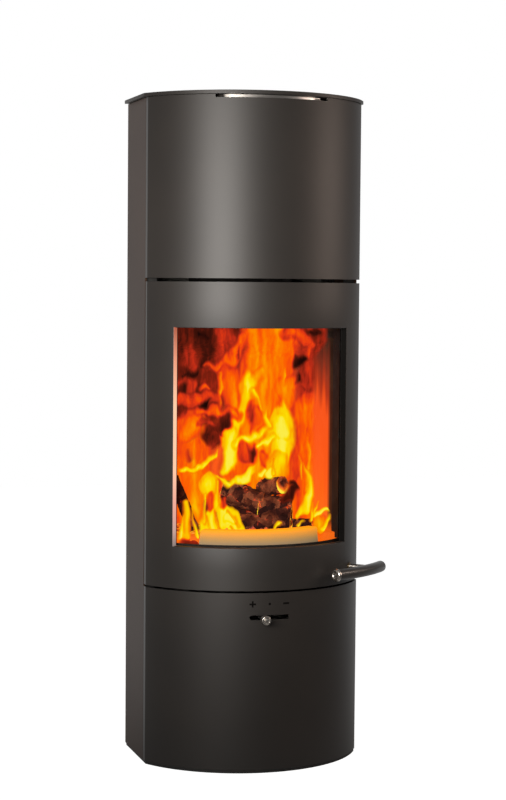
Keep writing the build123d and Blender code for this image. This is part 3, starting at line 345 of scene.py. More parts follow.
section = rounded_section(RETAINER_INNER, RETAINER_OUTER, RETAINER_BOTTOM, RETAINER_TOP, 0.003)
middle = section.mean(axis=0)
stations = np.concatenate([[-1.0], np.linspace(-1, 1, 61), [1.0]])
shrink = np.ones(63)
shrink[[0, -1]] = 0.0
shape = middle + shrink[:, None, None] * (section - middle)
cut_back = np.clip(shape[..., 1] - RETAINER_TOP + RETAINER_CUT, 0, None) / RETAINER_OUTER
angle = stations[:, None] * (RETAINER_END - cut_back)
points = round_axis(shape[..., 0], angle, shape[..., 1])

# Clean vermiculite: pale cream board with painted firelight: a glow painted on that is brightest on its top
# edge, over a base tone that turns orange towards the top.
pale_board_painted_firelight, tree, place = patterned("pale_vermiculite_painted_firelight")
grain = add(tree, "TexNoise", {"Scale": 500, "Detail": 3}, {"Vector": place})
axes = add(tree, "SeparateXYZ", links={0: place})
height = add(tree, "MapRange", {1: 0.498, 2: 0.533}, {0: axes.outputs[2]})
waver = add(tree, "MapRange", {1: 0.3, 2: 0.7, 3: -0.05, 4: 0.05}, {0: grain})
level = add(tree, "Math", links={0: height, 1: waver}, operation="ADD")
tone = add(tree, "ValToRGB", links={0: level}, stops=[(0.0, "776a58"), (0.45, "80623e"), (1.0, "956114")])
coat = add(tree, "BsdfPrincipled", {"Roughness": 0.95, "Specular IOR Level": 0.1}, {"Base Color": tone})
glow_and_painted_firelight = add(
    tree, "ValToRGB", links={0: level},
    stops=[(0.0, "595040"), (0.35, "8c6c3a"), (0.72, "cc842a"), (1.0, "fa9404")],
)
finish_with_glow_and_painted_light(pale_board_painted_firelight, coat, glow_and_painted_firelight)
piece(
    "log_retainer_board", points, pale_board_painted_firelight, "stove_body", ["log_retainer"],
    wrap=(False, True),
)

# Burning logs and embers
# Split logs burnt to charcoal, with checked sides and glowing ends, on a bed of embers. They
# lie loose on the grate and the floor bricks behind the retainer.


def ripple(places, size, seed, waves=28):
    """Smooth noise from about -1 to 1: the sum of seeded sine waves whose length is about size."""
    chance = np.random.default_rng(seed)
    ways = chance.normal(size=(places.shape[-1], waves)) * 2 * math.pi / size * 0.6
    phases = chance.uniform(0, 2 * math.pi, waves)
    return np.sin(places @ ways + phases).sum(axis=-1) / math.sqrt(waves)


def whole_cells(inside):
    """The cells of a grid whose four corners are all inside."""
    return inside[:-1, :-1] & inside[1:, :-1] & inside[1:, 1:] & inside[:-1, 1:]


def log_points(start, end, radius, seed):
    """A split log: circles along its axis, pushed in and out by coarse and fine noise, and flat
    ends made of shrinking rings. Gives the points and, on the ends, how hot each is: its ring
    times how far it lies to the lower left. The sides have the number -1."""
    start, end = np.array(start, float), np.array(end, float)
    axis = (end - start) / np.linalg.norm(end - start)
    side = np.cross(axis, (0, 0, 1.0))
    side /= np.linalg.norm(side)
    along = np.concatenate([np.zeros(6), np.linspace(0, 1, 60), np.ones(6)])
    ring = np.concatenate([np.linspace(0, 1, 7)[:-1], np.ones(60), np.linspace(1, 0, 7)[1:]])
    angle = np.linspace(0, 2 * math.pi, 64, endpoint=False)
    outward = np.cos(angle)[:, None] * side + np.sin(angle)[:, None] * np.cross(axis, side)
    centre = start + along[:, None] * (end - start)
    places = centre[None] + radius * outward[:, None]
    coarse = 0.10 * ripple(places, 0.06, seed)
    bark = 0.05 * ripple(places, 0.012, seed + 1)
    rough = (radius * (1 + coarse + bark))[..., None]
    points = centre[None] + (ring[None, :, None] * rough) * outward[:, None]
    face = ripple(points, 0.008, seed + 2)[..., None] * 0.0012 * (ring < 1)[None, :, None]
    low_left = 0.5 - 0.5 * outward @ np.array([0.55, 0.2, 0.81])
    ends = (along <= 0) | (along >= 1)
    across = np.where(ends, ring[None] * (0.15 + 0.85 * low_left[:, None]), -1.0)
    return points + face * axis, across


# Charcoal: black-brown with cracks that glow red, and a hot ring on the cut ends.
charcoal, tree, place = patterned("glowing_charcoal")
check = add(tree, "TexVoronoi", {"Scale": 75}, {"Vector": place}, feature="DISTANCE_TO_EDGE")
patch = add(tree, "TexNoise", {"Scale": 38, "Detail": 3}, {"Vector": place})
block = add(tree, "TexVoronoi", {"Scale": 75}, {"Vector": place})
shade = add(tree, "SeparateColor", links={0: block.outputs["Color"]})
own = add(tree, "Math", {1: 0.5}, {0: shade}, operation="MULTIPLY")
mixed = add(tree, "Math", links={0: own, 1: patch}, operation="ADD")
tone = add(
    tree, "ValToRGB", links={0: mixed},
    stops=[(0.5, "120402"), (0.72, "2a0d06"), (0.86, "4a2212"), (1.0, "6a3a24")],
)
bump = add(tree, "Bump", {"Strength": 0.9, "Distance": 0.002}, {"Height": check})
coat = add(
    tree, "BsdfPrincipled", {"Roughness": 0.9, "Specular IOR Level": 0.15},
    {"Base Color": tone, "Normal": bump},
)
crack = add(tree, "MapRange", {1: 0.09, 2: 0.0}, {0: check})
live = add(tree, "MapRange", {1: 0.56, 2: 0.66}, {0: patch})
glowing_and_firelit = add(tree, "Math", links={0: crack, 1: live}, operation="MULTIPLY")
across = add(tree, "Attribute", attribute_name="across")
wobble = add(tree, "MapRange", {1: 0.3, 2: 0.7, 3: -0.15, 4: 0.15}, {0: patch})
ring = add(tree, "Math", links={0: across.outputs["Fac"], 1: wobble}, operation="ADD")
face_glow = add(
    tree, "ValToRGB", links={0: ring},
    stops=[(0.0, "240a06"), (0.14, "3c1008"), (0.28, "a83a0e"), (0.45, "ee6c14"), (0.62, "ffa81c"),
           (0.8, "ffec38")],
)
on_face = add(tree, "Math", {1: -0.1}, {0: across.outputs["Fac"]}, operation="GREATER_THAN")
crack_glow = add(
    tree, "ValToRGB", links={0: glowing_and_firelit},
    stops=[(0.0, "1e0503"), (0.35, "6c1408"), (0.7, "c42c06"), (1.0, "ff6a10")],
)
glow_and_painted_firelight = add(tree, "Mix", links={0: on_face, 6: crack_glow, 7: face_glow}, data_type="RGBA")
finish_with_glow_and_painted_light(charcoal, coat, glow_and_painted_firelight.outputs[2])

# Each log's start, end, radius and seed
logs = {
    "upper_log": ((0.024, -0.058, 0.607), (0.068, -0.134, 0.624), 0.0215, 1),
    "middle_log": ((-0.058, -0.070, 0.606), (0.030, -0.100, 0.580), 0.025, 2),
    "checked_log": ((0.020, -0.100, 0.572), (0.094, -0.118, 0.566), 0.028, 3),
    "bottom_log": ((-0.045, -0.122, 0.538), (0.085, -0.126, 0.540), 0.019, 4),
    "small_piece": ((0.090, -0.133, 0.533), (0.136, -0.135, 0.533), 0.012, 5),
    "leaning_log": ((-0.1765, -0.080, 0.640), (-0.136, -0.125, 0.522), 0.013, 6),
    "back_log": ((-0.088, -0.052, 0.552), (0.110, -0.052, 0.556), 0.033, 7),
}
for name, (start, end, radius, seed) in logs.items():
    points, across = log_points(start, end, radius, seed)
    piece(
        name, points, charcoal, "stove_body", ["burning_logs"], wrap=(True, False),
        values={"across": across},
    )

BED_HALF = 0.184
BED_FRONT = -0.196
BED_REAR = 0.004
BED_RADIUS = 0.199
BED_LEVEL = 0.509

bed_x, bed_y = np.meshgrid(
    np.linspace(-BED_HALF, BED_HALF, 150), np.linspace(BED_FRONT, BED_REAR, 80), indexing="ij"
)
bed = np.stack([bed_x, bed_y], axis=-1)
lumps = np.abs(ripple(bed, 0.024, 11)) * 0.008 + ripple(bed, 0.008, 12) * 0.0015
rim = np.clip(1 - np.abs(bed_x) / BED_HALF, 0, 0.15) / 0.15 * np.clip((bed_y - BED_FRONT) / 0.02, 0, 1)
bed = np.stack([bed_x, bed_y, BED_LEVEL + lumps + 0.008 * rim], axis=-1)

# Embers: lumps of glowing charcoal under a thin skin of ash.
embers, tree, place = patterned("embers")
lump = add(tree, "TexVoronoi", {"Scale": 95}, {"Vector": place})
patch = add(tree, "TexNoise", {"Scale": 45, "Detail": 4}, {"Vector": place})
glowing_and_firelit = add(tree, "Math", links={0: lump, 1: patch}, operation="MULTIPLY")
glow_and_painted_firelight = add(
    tree, "ValToRGB", links={0: glowing_and_firelit},
    stops=[(0.05, "2c0a06"), (0.18, "a02810"), (0.3, "ff6a14"), (0.45, "ffb020")],
)
coat = add(tree, "BsdfPrincipled", {"Base Color": linear("2a2220"), "Roughness": 0.95})
finish_with_glow_and_painted_light(embers, coat, glow_and_painted_firelight)
piece(
    "ember_bed", bed, embers, "stove_body", ["burning_logs"],
    keep=whole_cells(np.hypot(bed_x, bed_y) < BED_RADIUS),
)

# Flames
# Three curtains of flame, one against the back lining, one over the logs and one in front
# of them. Each tongue is a line of places (across, up) with a half width, all in
# millimetres, and a heat from 0, smoke, to 1, the palest yellow.
FIRE_HALF = 188
SHEET_RIGHT = 216
SHEET_BOTTOM = 496
SHEET_TOP = 984
LEAN_START = 905
LEAN_RISE = 50
LEAN_ASIDE = math.tan(math.radians(16.7))

back_tongues = [
    (0.13, (-85, 966, 88), (-99, 886, 80), (-98, 823, 70)),
    (0.28, (-10, 965, 14), (-40, 930, 16), (-66, 890, 12)),
    (0.52, (-111, 750, 45), (-111, 694, 45), (-111, 641, 45), (-110, 548, 48)),
    (0.30, (179, 977, 43), (189, 885, 45), (181, 826, 43)),
    (0.50, (167, 788, 43), (168, 730, 43), (169, 568, 43)),
    (0.66, (169, 745, 5), (170, 680, 8), (170, 600, 9)),
    (0.58, (69, 977, 64), (70, 913, 64), (62, 832, 70), (44, 732, 80), (44, 651, 88), (45, 544, 102)),
    (0.30, (-39, 971, 16), (-50, 950, 13)),
    (0.05, (-92, 964, 20), (-78, 958, 16)),
    (0.30, (-131, 905, 11), (-123, 931, 7), (-115, 943, 2)),
    (0.27, (-112, 892, 13), (-107, 924, 9), (-103, 929, 1)),
    (0.22, (-76, 868, 21), (-73, 839, 16)),
    (0.32, (-142, 852, 24), (-116, 852, 20), (-118, 820, 18)),
    (0.10, (-138, 838, 13), (-138, 826, 12)),
    (0.07, (-142, 868, 8), (-107, 868, 13)),
]
middle_tongues = [
    (0.56, (60, 983, 67), (58, 928, 62), (42, 875, 62), (34, 810, 64), (35, 744, 72), (33, 684, 75),
     (36, 626, 70)),
    (0.52, (-103, 897, 2), (-78, 889, 8), (-54, 897, 16), (-32, 915, 19), (-16, 946, 13), (-5, 973, 8)),
    (0.50, (-43, 881, 21), (-43, 847, 27), (-31, 810, 24)),
    (0.42, (88, 970, 13), (130, 965, 16), (152, 944, 12), (139, 915, 8)),
    (0.64, (11, 978, 13), (14, 915, 16), (17, 876, 16)),
    (0.20, (-20, 939, 2), (-24, 920, 5), (-23, 907, 3)),
    (0.72, (32, 884, 7), (20, 870, 12), (6, 856, 20), (-4, 846, 20)),
    (0.62, (92, 846, 27), (101, 809, 16)),
    (0.75, (88, 896, 2), (90, 878, 4), (89, 857, 2)),
    (0.88, (4, 873, 5), (7, 852, 16), (-4, 826, 13), (-15, 794, 13), (-28, 763, 16), (-47, 731, 24)),
    (0.78, (15, 836, 8), (32, 804, 5), (43, 783, 3)),
    (0.30, (7, 812, 4), (4, 789, 10), (7, 765, 6)),
    (0.50, (25, 794, 11), (29, 762, 12), (13, 744, 8)),
    (0.02, (132, 912, 8), (122, 902, 12), (112, 889, 7)),
    (0.05, (122, 866, 6), (122, 861, 6)),
    (0.22, (128, 846, 6), (134, 842, 8)),
    (0.08, (150, 975, 8), (168, 968, 9)),
    (0.66, (-63, 878, 4), (-60, 847, 6), (-70, 824, 6), (-64, 800, 2)),
    (0.38, (-156, 812, 16), (-122, 815, 18), (-84, 820, 16)),
    (0.46, (-106, 843, 8), (-90, 838, 5)),
    (0.50, (-118, 790, 8), (-75, 792, 13), (-31, 784, 16)),
    (0.02, (-88, 816, 2), (-99, 809, 10), (-112, 801, 4)),
    (0.60, (-129, 764, 24), (-142, 738, 21)),
    (0.15, (-54, 777, 16), (-62, 752, 22), (-98, 736, 13), (-82, 730, 20), (-74, 718, 13), (-80, 705, 3)),
    (0.34, (-114, 766, 6), (-97, 765, 9), (-82, 758, 6)),
    (0.30, (-139, 695, 4), (-138, 676, 7)),
    (0.90, (-42, 738, 16), (-36, 706, 16), (-38, 680, 17), (-52, 659, 11)),
    (0.86, (-28, 710, 9), (-6, 723, 11), (20, 736, 10), (44, 749, 7)),
    (0.88, (87, 812, 2), (90, 788, 12), (82, 767, 27), (79, 740, 35), (85, 720, 32), (80, 688, 27),
     (80, 657, 21)),
    (0.97, (80, 769, 11), (86, 740, 17)),
    (0.85, (45, 809, 2), (43, 783, 6), (51, 757, 8)),
    (0.38, (-9, 706, 12), (-6, 679, 11)),
    (0.12, (14, 713, 3), (11, 695, 9), (9, 676, 6)),
    (0.90, (22, 709, 6), (40, 719, 9), (62, 733, 8)),
    (0.45, (38, 686, 12), (41, 668, 10)),
    (0.78, (72, 667, 27), (72, 646, 24)),
]
front_tongues = [
    (0.85, (-175, 660, 6), (-145, 665, 7), (-116, 680, 7), (-97, 695, 5), (-92, 709, 1)),
    (0.80, (-113, 633, 24), (-105, 612, 16), (-91, 586, 16)),
    (0.88, (-92, 645, 3), (-67, 633, 6), (-43, 638, 7), (-19, 644, 3)),
    (0.97, (-43, 639, 10), (-21, 647, 13), (-8, 660, 10), (2, 675, 1)),
    (1.00, (13, 647, 7), (22, 659, 5)),
    (1.00, (31, 651, 9), (36, 664, 4)),
    (0.80, (40, 689, 1), (40, 667, 2), (39, 653, 4)),
    (0.85, (-91, 632, 4), (-93, 606, 4), (-90, 580, 9)),
    (0.93, (-107, 565, 16), (-107, 536, 24), (-112, 518, 19)),
    (0.93, (-78, 575, 13), (-61, 548, 24), (-42, 524, 16), (-64, 514, 21)),
    (1.00, (-67, 559, 8), (-53, 545, 8)),
    (0.70, (-118, 566, 1), (-113, 545, 2), (-108, 520, 2)),
    (0.66, (-96, 572, 1), (-88, 550, 3), (-78, 522, 2)),
    (0.72, (-66, 570, 1), (-52, 552, 2), (-40, 530, 2)),
    (0.68, (-60, 532, 1), (-50, 518, 2)),
    (0.78, (-120, 607, 3), (-123, 581, 3), (-124, 545, 4)),
    (0.40, (-107, 601, 8), (-107, 581, 7)),
    (0.33, (-74, 603, 5), (-74, 583, 7)),
    (0.78, (-164, 590, 7), (-163, 556, 10), (-166, 522, 11), (-158, 499, 7)),
    (0.82, (-147, 576, 2), (-147, 545, 3), (-138, 516, 6)),
    (0.92, (-172, 560, 2), (-173, 540, 4), (-176, 515, 6)),
    (0.10, (86, 623, 7), (93, 613, 9), (80, 600, 10), (66, 594, 7)),
    (0.85, (107, 677, 1), (120, 652, 5), (128, 625, 7), (129, 602, 9), (120, 575, 11), (101, 555, 8)),
    (0.80, (100, 688, 1), (103, 665, 3), (108, 640, 2)),
    (0.64, (150, 536, 15), (155, 518, 8)),
    (0.85, (149, 592, 1), (146, 572, 3), (135, 554, 6)),
    (0.85, (136, 582, 1), (133, 559, 4), (130, 546, 5)),
    (0.95, (170, 565, 5), (159, 559, 7), (142, 552, 6)),
    (0.82, (176, 556, 1), (172, 540, 4), (160, 524, 7)),
    (0.90, (62, 536, 2), (54, 527, 6), (45, 520, 3)),
    (0.90, (115, 539, 2), (104, 531, 5)),
    (0.20, (-168, 495, 13), (-139, 494, 13)),
]


def smooth(value):
    """Eases a value from 0 to 1 with no corner at either end."""
    value = np.clip(value, 0, 1)
    return value * value * (3 - 2 * value)


def flame_sheet(depth, top_depth, tongues, soft, seed):
    """A curtain of flame: each tongue is where a round brush of its half width passes, laid over
    the ones before it, on a grid whose places are first stirred by noise. A hot tongue is hotter
    in the middle and cooler at its edges, and a dark one is darkest in the middle. Over the logs
    the curtain stands at one depth, and near the top it leans forward, past the baffle's edge, to
    another. Gives points, warmth, cover and the cells to keep."""
    x, z = np.meshgrid(
        np.linspace(-FIRE_HALF, SHEET_RIGHT, 203), np.linspace(SHEET_BOTTOM, SHEET_TOP, 245), indexing="ij"
    )
    grid = np.stack([x, z], axis=-1)
    slow = grid * (1.0, 0.5)
    stirred_x = x + 2.6 * ripple(slow, 32, seed) + 0.9 * ripple(slow, 13, seed + 1)
    stirred_z = z + 6.0 * ripple(slow, 36, seed + 2) + 1.6 * ripple(slow, 14, seed + 3)
    cover = np.zeros_like(x)
    warmth = np.zeros_like(x)
    bulge = np.zeros_like(x)
    for heat, *places in tongues:
        places = np.array(places, float)
        steps = np.linspace(0, len(places) - 1, 12 * len(places))
        line = np.stack([np.interp(steps, np.arange(len(places)), column) for column in places.T], axis=1)
        inside = np.full_like(x, -99.0)
        for across, up, half in line:
            np.maximum(inside, half - np.hypot(stirred_x - across, stirred_z - up), out=inside)
        over = smooth(inside / soft + 0.5)
        core = np.clip(inside / places[:, 2].max(), 0, 1)
        total = 1 - (1 - cover) * (1 - over)
        swing = np.clip(6 * heat - 1.8, -0.5, 1)
        own = heat + swing * (0.16 * smooth(core) - 0.09) - 0.2 * (heat > 0.3) * (1 - over)
        warmth = (warmth * cover * (1 - over) + own * over) / np.maximum(total, 1e-6)
        bulge = bulge * (1 - over) + 8 * smooth(core) * over
        cover = total
    streaks = np.stack([stirred_x, 0.16 * stirred_z], axis=-1)
    licks = 0.050 * ripple(streaks, 22, seed + 4) + 0.025 * ripple(streaks, 9, seed + 5)
    warmth = np.clip(warmth + licks * smooth(warmth / 0.3), 0, 1)
    lean = smooth((z - LEAN_START) / LEAN_RISE)
    y = depth + (top_depth - depth) * lean - bulge + 3.0 * ripple(slow, 60, seed + 6)
    leaned_x = x + LEAN_ASIDE * (top_depth - depth) * lean
    points = np.stack([leaned_x, y, z], axis=-1) / 1000
    cover = cover * smooth((FIRE_HALF - np.abs(leaned_x)) / 16)
    shown = (cover > 0.004) & (np.abs(leaned_x) < FIRE_HALF + 1)
    return points, warmth, cover, whole_cells(shown)


# Flame: light only, red-brown where it is cool and pale yellow where it is hottest, clear
# towards its edges, with fine upright wisps.
flame, tree, place = patterned("flame")
stretch = add(tree, "Mapping", {"Scale": (140, 140, 36)}, {"Vector": place})
wisp = add(tree, "TexNoise", {"Scale": 1.0, "Detail": 3, "Distortion": 0.8}, {"Vector": stretch})
warmth = add(tree, "Attribute", attribute_name="warmth")
cover = add(tree, "Attribute", attribute_name="cover")
waver = add(tree, "MapRange", {1: 0.3, 2: 0.7, 3: -0.03, 4: 0.03}, {0: wisp})
level = add(tree, "Math", links={0: warmth.outputs["Fac"], 1: waver}, operation="ADD")
colour = add(
    tree, "ValToRGB", links={0: level},
    stops=[(0.0, "1c0806"), (0.1, "44140b"), (0.2, "7d2010"), (0.3, "b82c18"), (0.4, "ea3c14"),
           (0.5, "ff5a05"), (0.6, "ff7c00"), (0.7, "ffa000"), (0.8, "ffc800"), (0.9, "ffe405"),
           (1.0, "fff04a")],
)
seen = in_sight(tree)
amount = add(tree, "Math", links={0: cover.outputs["Fac"], 1: seen}, operation="MULTIPLY")
light = add(tree, "Emission", links={"Color": colour})
clear = add(tree, "BsdfTransparent")
both = add(tree, "MixShader", links={0: amount, 1: clear, 2: light})
add(tree, "OutputMaterial", links={0: both})
for name, depth, top_depth, tongues, soft, seed in (
    ("back_flames", -14, -101, back_tongues, 22, 21),
    ("middle_flames", -80, -112, middle_tongues, 13, 31),
    ("front_flames", -152, -152, front_tongues, 8, 41),
):
    points, warm, covers, keep = flame_sheet(depth, top_depth, tongues, soft, seed)
    piece(name, points, flame, "stove_body", keep=keep, values={"warmth": warm, "cover": covers})

# Heat storage stones and heat deflector
# Sawn soapstone blocks stacked in the upper compartment, and a strip of bright sheet
# behind the top slot that keeps the rising heat off the cover's edge.

# Soapstone: soft grey with pale and dark flecks.
soapstone = clouded_finish(
    "soapstone", 120, [(0.3, "4e514f"), (0.5, "6c6f6c"), (0.7, "92948f")], {"Roughness": 0.8},
    detail=6, mottling=0.7,
)
dress(["heat_stone_1", "heat_stone_2", "heat_stone_3"], soapstone)

# Bright sheet: polished steel strip, slightly brushed along its length, painted black at its
# left end as painted shade, and paler towards the right.
bright_sheet, tree, place = patterned("bright_sheet")
stretch = add(tree, "Mapping", {"Scale": (8, 8, 900)}, {"Vector": place})
brush = add(tree, "TexNoise", {"Scale": 1.0, "Detail": 2}, {"Vector": stretch})
shine = add(tree, "MapRange", {3: 0.24, 4: 0.40}, {0: brush})
axes = add(tree, "SeparateXYZ", links={0: place})
along = add(tree, "MapRange", {1: -0.13, 2: 0.13}, {0: axes})
tone = add(
    tree, "ValToRGB", links={0: along},
    stops=[(0.0, "060505"), (0.09, "0c0b0a"), (0.15, "7c7874"), (0.6, "b8b4b0"), (0.78, "f4f0ec")],
)
coat = add(tree, "BsdfPrincipled", {"Metallic": 1.0}, {"Base Color": tone, "Roughness": shine})
add(tree, "OutputMaterial", links={0: coat})
dress(["heat_deflector"], bright_sheet)

# Side panels
# Flat 4 mm sheets screwed to the posts, in the casing's satin paint, which looks browner
# from the side; that browner look is painted light, in a copy of the paint of their own.


def satin_paint(name, dark, light, roughness, ior):
    """Heat-proof anthracite satin paint: two close tones in soft clouds under a fine grain."""
    return clouded_finish(
        name, 5, [(0.3, dark), (0.7, light)], {"Roughness": roughness, "IOR": ior}, detail=3,
        relief=(1400, 2, 0.12, 0.0003),
    )


# Side paint: a warmer, more matt copy of the casing paint with a warm tint in its reflection: painted warm
# light.
side_paint_painted_warmth = satin_paint("side_paint_painted_warmth", "291c15", "2f221a", 0.5, 1.21)
side_coat_painted_warmth = side_paint_painted_warmth.node_tree.nodes["Principled BSDF"]
side_coat_painted_warmth.inputs["Specular Tint"].default_value = linear("f4dccc")
dress(["left_side_panel", "right_side_panel"], side_paint_painted_warmth)

# Rear panel
# A flat sheet screwed to the rear posts, with rows of air slots and a hole for the flue. It
# faces the wall, so its paint is plainer: matt and dark grey.

# Rear paint: dull dark grey with a dry, even look.
rear_paint = satin_paint("rear_paint", "4c4a47", "575552", 0.55, 1.45)
dress(["rear_panel"], rear_paint)

# Front covers
# Curved 4 mm sheets with both edges folded back, hung on tabs above and below the door. The
# upper one has a long slot in its top edge and the lower one a slot for the air lever.
RADIUS = 0.283
HALF_WIDTH = 0.250
FOLD = 0.003
CORNER_Y = -math.sqrt(RADIUS ** 2 - HALF_WIDTH ** 2)
ARC_END = math.atan2(HALF_WIDTH - FOLD, math.sqrt((RADIUS - FOLD) ** 2 - (HALF_WIDTH - FOLD) ** 2))
FOLD_Y = -math.sqrt((RADIUS - FOLD) ** 2 - (HALF_WIDTH - FOLD) ** 2)


def front_plan(angles, radius, reach):
    """Plan of a curved front sheet with folded edges: forward along the left return, round the
    fold, across the arc at the given angles, round the right fold and back."""
    bend = np.linspace(math.pi / 2, ARC_END, 6)[:-1]
    edge = np.concatenate([
        [(HALF_WIDTH, CORNER_Y + reach), (HALF_WIDTH, CORNER_Y + reach / 2)],
        np.stack([HALF_WIDTH - FOLD + FOLD * np.sin(bend), FOLD_Y - FOLD * np.cos(bend)], axis=1),
    ])
    return np.concatenate([edge * (-1, 1), round_axis(radius, angles), edge[::-1]])


EDGE_COLUMNS = 7


def raised(plan, heights):
    """Stands a plan up on a list of heights."""
    points = np.empty((len(plan), len(heights), 3))
    points[..., :2] = plan[:, None]
    points[..., 2] = heights
    return points


def all_but(points, holes):
    """The cells of a folded front sheet that stay: all but the holes in its arc."""
    keep = np.ones((points.shape[0] - 1, points.shape[1] - 1), bool)
    keep[EDGE_COLUMNS:-EDGE_COLUMNS] = ~holes
    return keep


# Casing paint: nearly black, slightly warm, with a wide soft highlight.
casing_paint = satin_paint("casing_paint", "1c1917", "211d1a", 0.49, 1.4)

COVER_RETURN = 0.018
UPPER_BOTTOM = 1.0921
UPPER_TOP = 1.491
SLOT_END = math.radians(27)
SLOT_BOTTOM = 1.484

angles = np.sort(np.concatenate([np.linspace(-ARC_END, ARC_END, 101), [-SLOT_END, SLOT_END]]))
heights = np.array([UPPER_BOTTOM, 1.100, 1.300, SLOT_BOTTOM, UPPER_TOP])
points = raised(front_plan(angles, RADIUS, COVER_RETURN), heights)
open_columns = (angles[:-1] > -SLOT_END - 1e-9) & (angles[1:] < SLOT_END + 1e-9)
open_rows = heights[:-1] > SLOT_BOTTOM - 1e-9
piece(
    "upper_cover_sheet", points, casing_paint, "stove_body", ["upper_front_cover"],
    keep=all_but(points, open_columns[:, None] & open_rows), thickness=0.004, edge=0.0005,
)

LOWER_BOTTOM = 0.007
LOWER_TOP = 0.401
SLOT_LEVEL = 0.3467
SLOT_HALF = 0.0051
SLOT_LEFT = math.radians(-10.2)
SLOT_RIGHT = math.radians(8.2)
unit = SLOT_HALF / RADIUS
near_left = SLOT_LEFT - unit * np.array([3.0, 2.2, 1.5, 1.0, 0.5, 0.0])
angles = np.concatenate([
    np.linspace(-ARC_END, near_left[0] - 0.01, 34), near_left,
    np.linspace(SLOT_LEFT + 1.15 * unit, SLOT_RIGHT, 22), np.linspace(SLOT_RIGHT + 0.01, ARC_END, 36),
])
around = np.sin(np.linspace(-math.pi / 2, math.pi / 2, 13))
levels = np.concatenate([[-2.5, -1.75, -1.3], around, [1.3, 1.75, 2.5]]) * SLOT_HALF + SLOT_LEVEL
heights = np.concatenate([[LOWER_BOTTOM, 0.12, 0.24, 0.32], levels, [0.37, LOWER_TOP]])
points = raised(front_plan(angles, RADIUS, COVER_RETURN), heights)
off_level = np.abs(heights - SLOT_LEVEL) / SLOT_HALF
hollow = (1 - np.sqrt(np.clip(1 - off_level ** 2, 0, 1))) * np.clip(1 - (off_level - 1) / 1.5, 0, 1)
fade = np.clip(1 - (SLOT_LEFT - angles) / unit / 3.0, 0, 1) * (angles < SLOT_LEFT + 1e-6)
moved = angles[:, None] + unit * fade[:, None] * hollow[None]
points[EDGE_COLUMNS:-EDGE_COLUMNS, :, :2] = round_axis(RADIUS, moved)
open_columns = (angles[:-1] > SLOT_LEFT - 1e-6) & (angles[1:] < SLOT_RIGHT + 1e-6)
open_rows = (off_level[:-1] < 1 + 1e-3) & (off_level[1:] < 1 + 1e-3)
piece(
    "lower_cover_sheet", points, casing_paint, "stove_body", ["lower_front_cover"],
    keep=all_but(points, open_columns[:, None] & open_rows), thickness=0.004, edge=0.0005,
)

# Marks over the air slot
# Three plain marks printed in flat black on the lower cover, over the air lever's slot: a plus
# for more air, a dot for the middle and a minus for less.
MARK_LEVEL = 0.3766
PRINT_RADIUS = RADIUS + 0.00004

# Black print: flat and matt.
black_print = clouded_finish(
    "black_print", 900, [(0.3, "040303"), (0.7, "090807")],
    {"Roughness": 0.9, "Specular IOR Level": 0.05},
)


def mark(name, angle, width, height):
    """A small rectangle laid on the cover's curve, its middle at an angle and the marks' level."""
    across = math.radians(angle) + np.linspace(-width / 2, width / 2, 7) / RADIUS
    up = MARK_LEVEL + np.linspace(-height / 2, height / 2, 3)
    piece(name, raised(round_axis(PRINT_RADIUS, across), up), black_print, "stove_body")


mark("plus_across", -8.8, 0.0145, 0.0040)
mark("plus_up", -8.8, 0.0036, 0.0140)
mark("minus", 6.8, 0.0145, 0.0042)
rings = np.array([0.0, 1.4, 2.8]) / 1000
turn = np.linspace(0, 2 * math.pi, 24, endpoint=False)
dot_angle = math.radians(-1.0) + np.cos(turn)[:, None] * rings / RADIUS
dot_level = MARK_LEVEL + np.sin(turn)[:, None] * rings
dot = round_axis(PRINT_RADIUS, dot_angle, dot_level)
piece("dot", dot[:, ::-1], black_print, "stove_body", wrap=(True, False))

# Top plate
# An 8 mm steel plate with a bowed front edge, laid on the posts and painted like the covers,
# its edges just broken.
TOP_RADIUS = 0.286
TOP_HALF = 0.258
TOP_REAR = 0.0624


def top_outline(inset):
    """The plate's outline, drawn in by an inset, from the rear left corner round the front."""
    radius = TOP_RADIUS - inset
    half = TOP_HALF - inset
    end = math.asin(half / radius)
    arc = np.linspace(-end, end, 121)
    rear = TOP_REAR - inset
    return np.concatenate([[(-half, rear)], round_axis(radius, arc), [(half, rear)]])


layers = [(0.10, 1.492), (0.0, 1.492), (0.0, 1.4992), (0.0008, 1.5), (0.10, 1.5)]
points = np.stack([
    np.pad(top_outline(inset), ((0, 0), (0, 1)), constant_values=level) for inset, level in layers
], axis=1)
points[:, [0, -1], :2] = (0.0, -0.08)
piece("top_plate_sheet", points, casing_paint, "stove_body", ["top_plate"], wrap=(True, False))

# Fire door
# A curved steel skin with folded edges and a deep square-cornered reveal round the window,
# painted like the covers. An inner frame, the pane and a rope seal are fixed behind it.
DOOR_BOTTOM = 0.4057
DOOR_TOP = 1.0841
WINDOW_LEFT = math.radians(-46.1)
WINDOW_RIGHT = math.radians(43.4)
WINDOW_BOTTOM = 0.500
WINDOW_TOP = 0.983
REVEAL = 0.013
ROUNDING = 0.0012
DOOR_RETURN = 0.014
LEFT_COLUMNS = 16
RIGHT_COLUMNS = 18

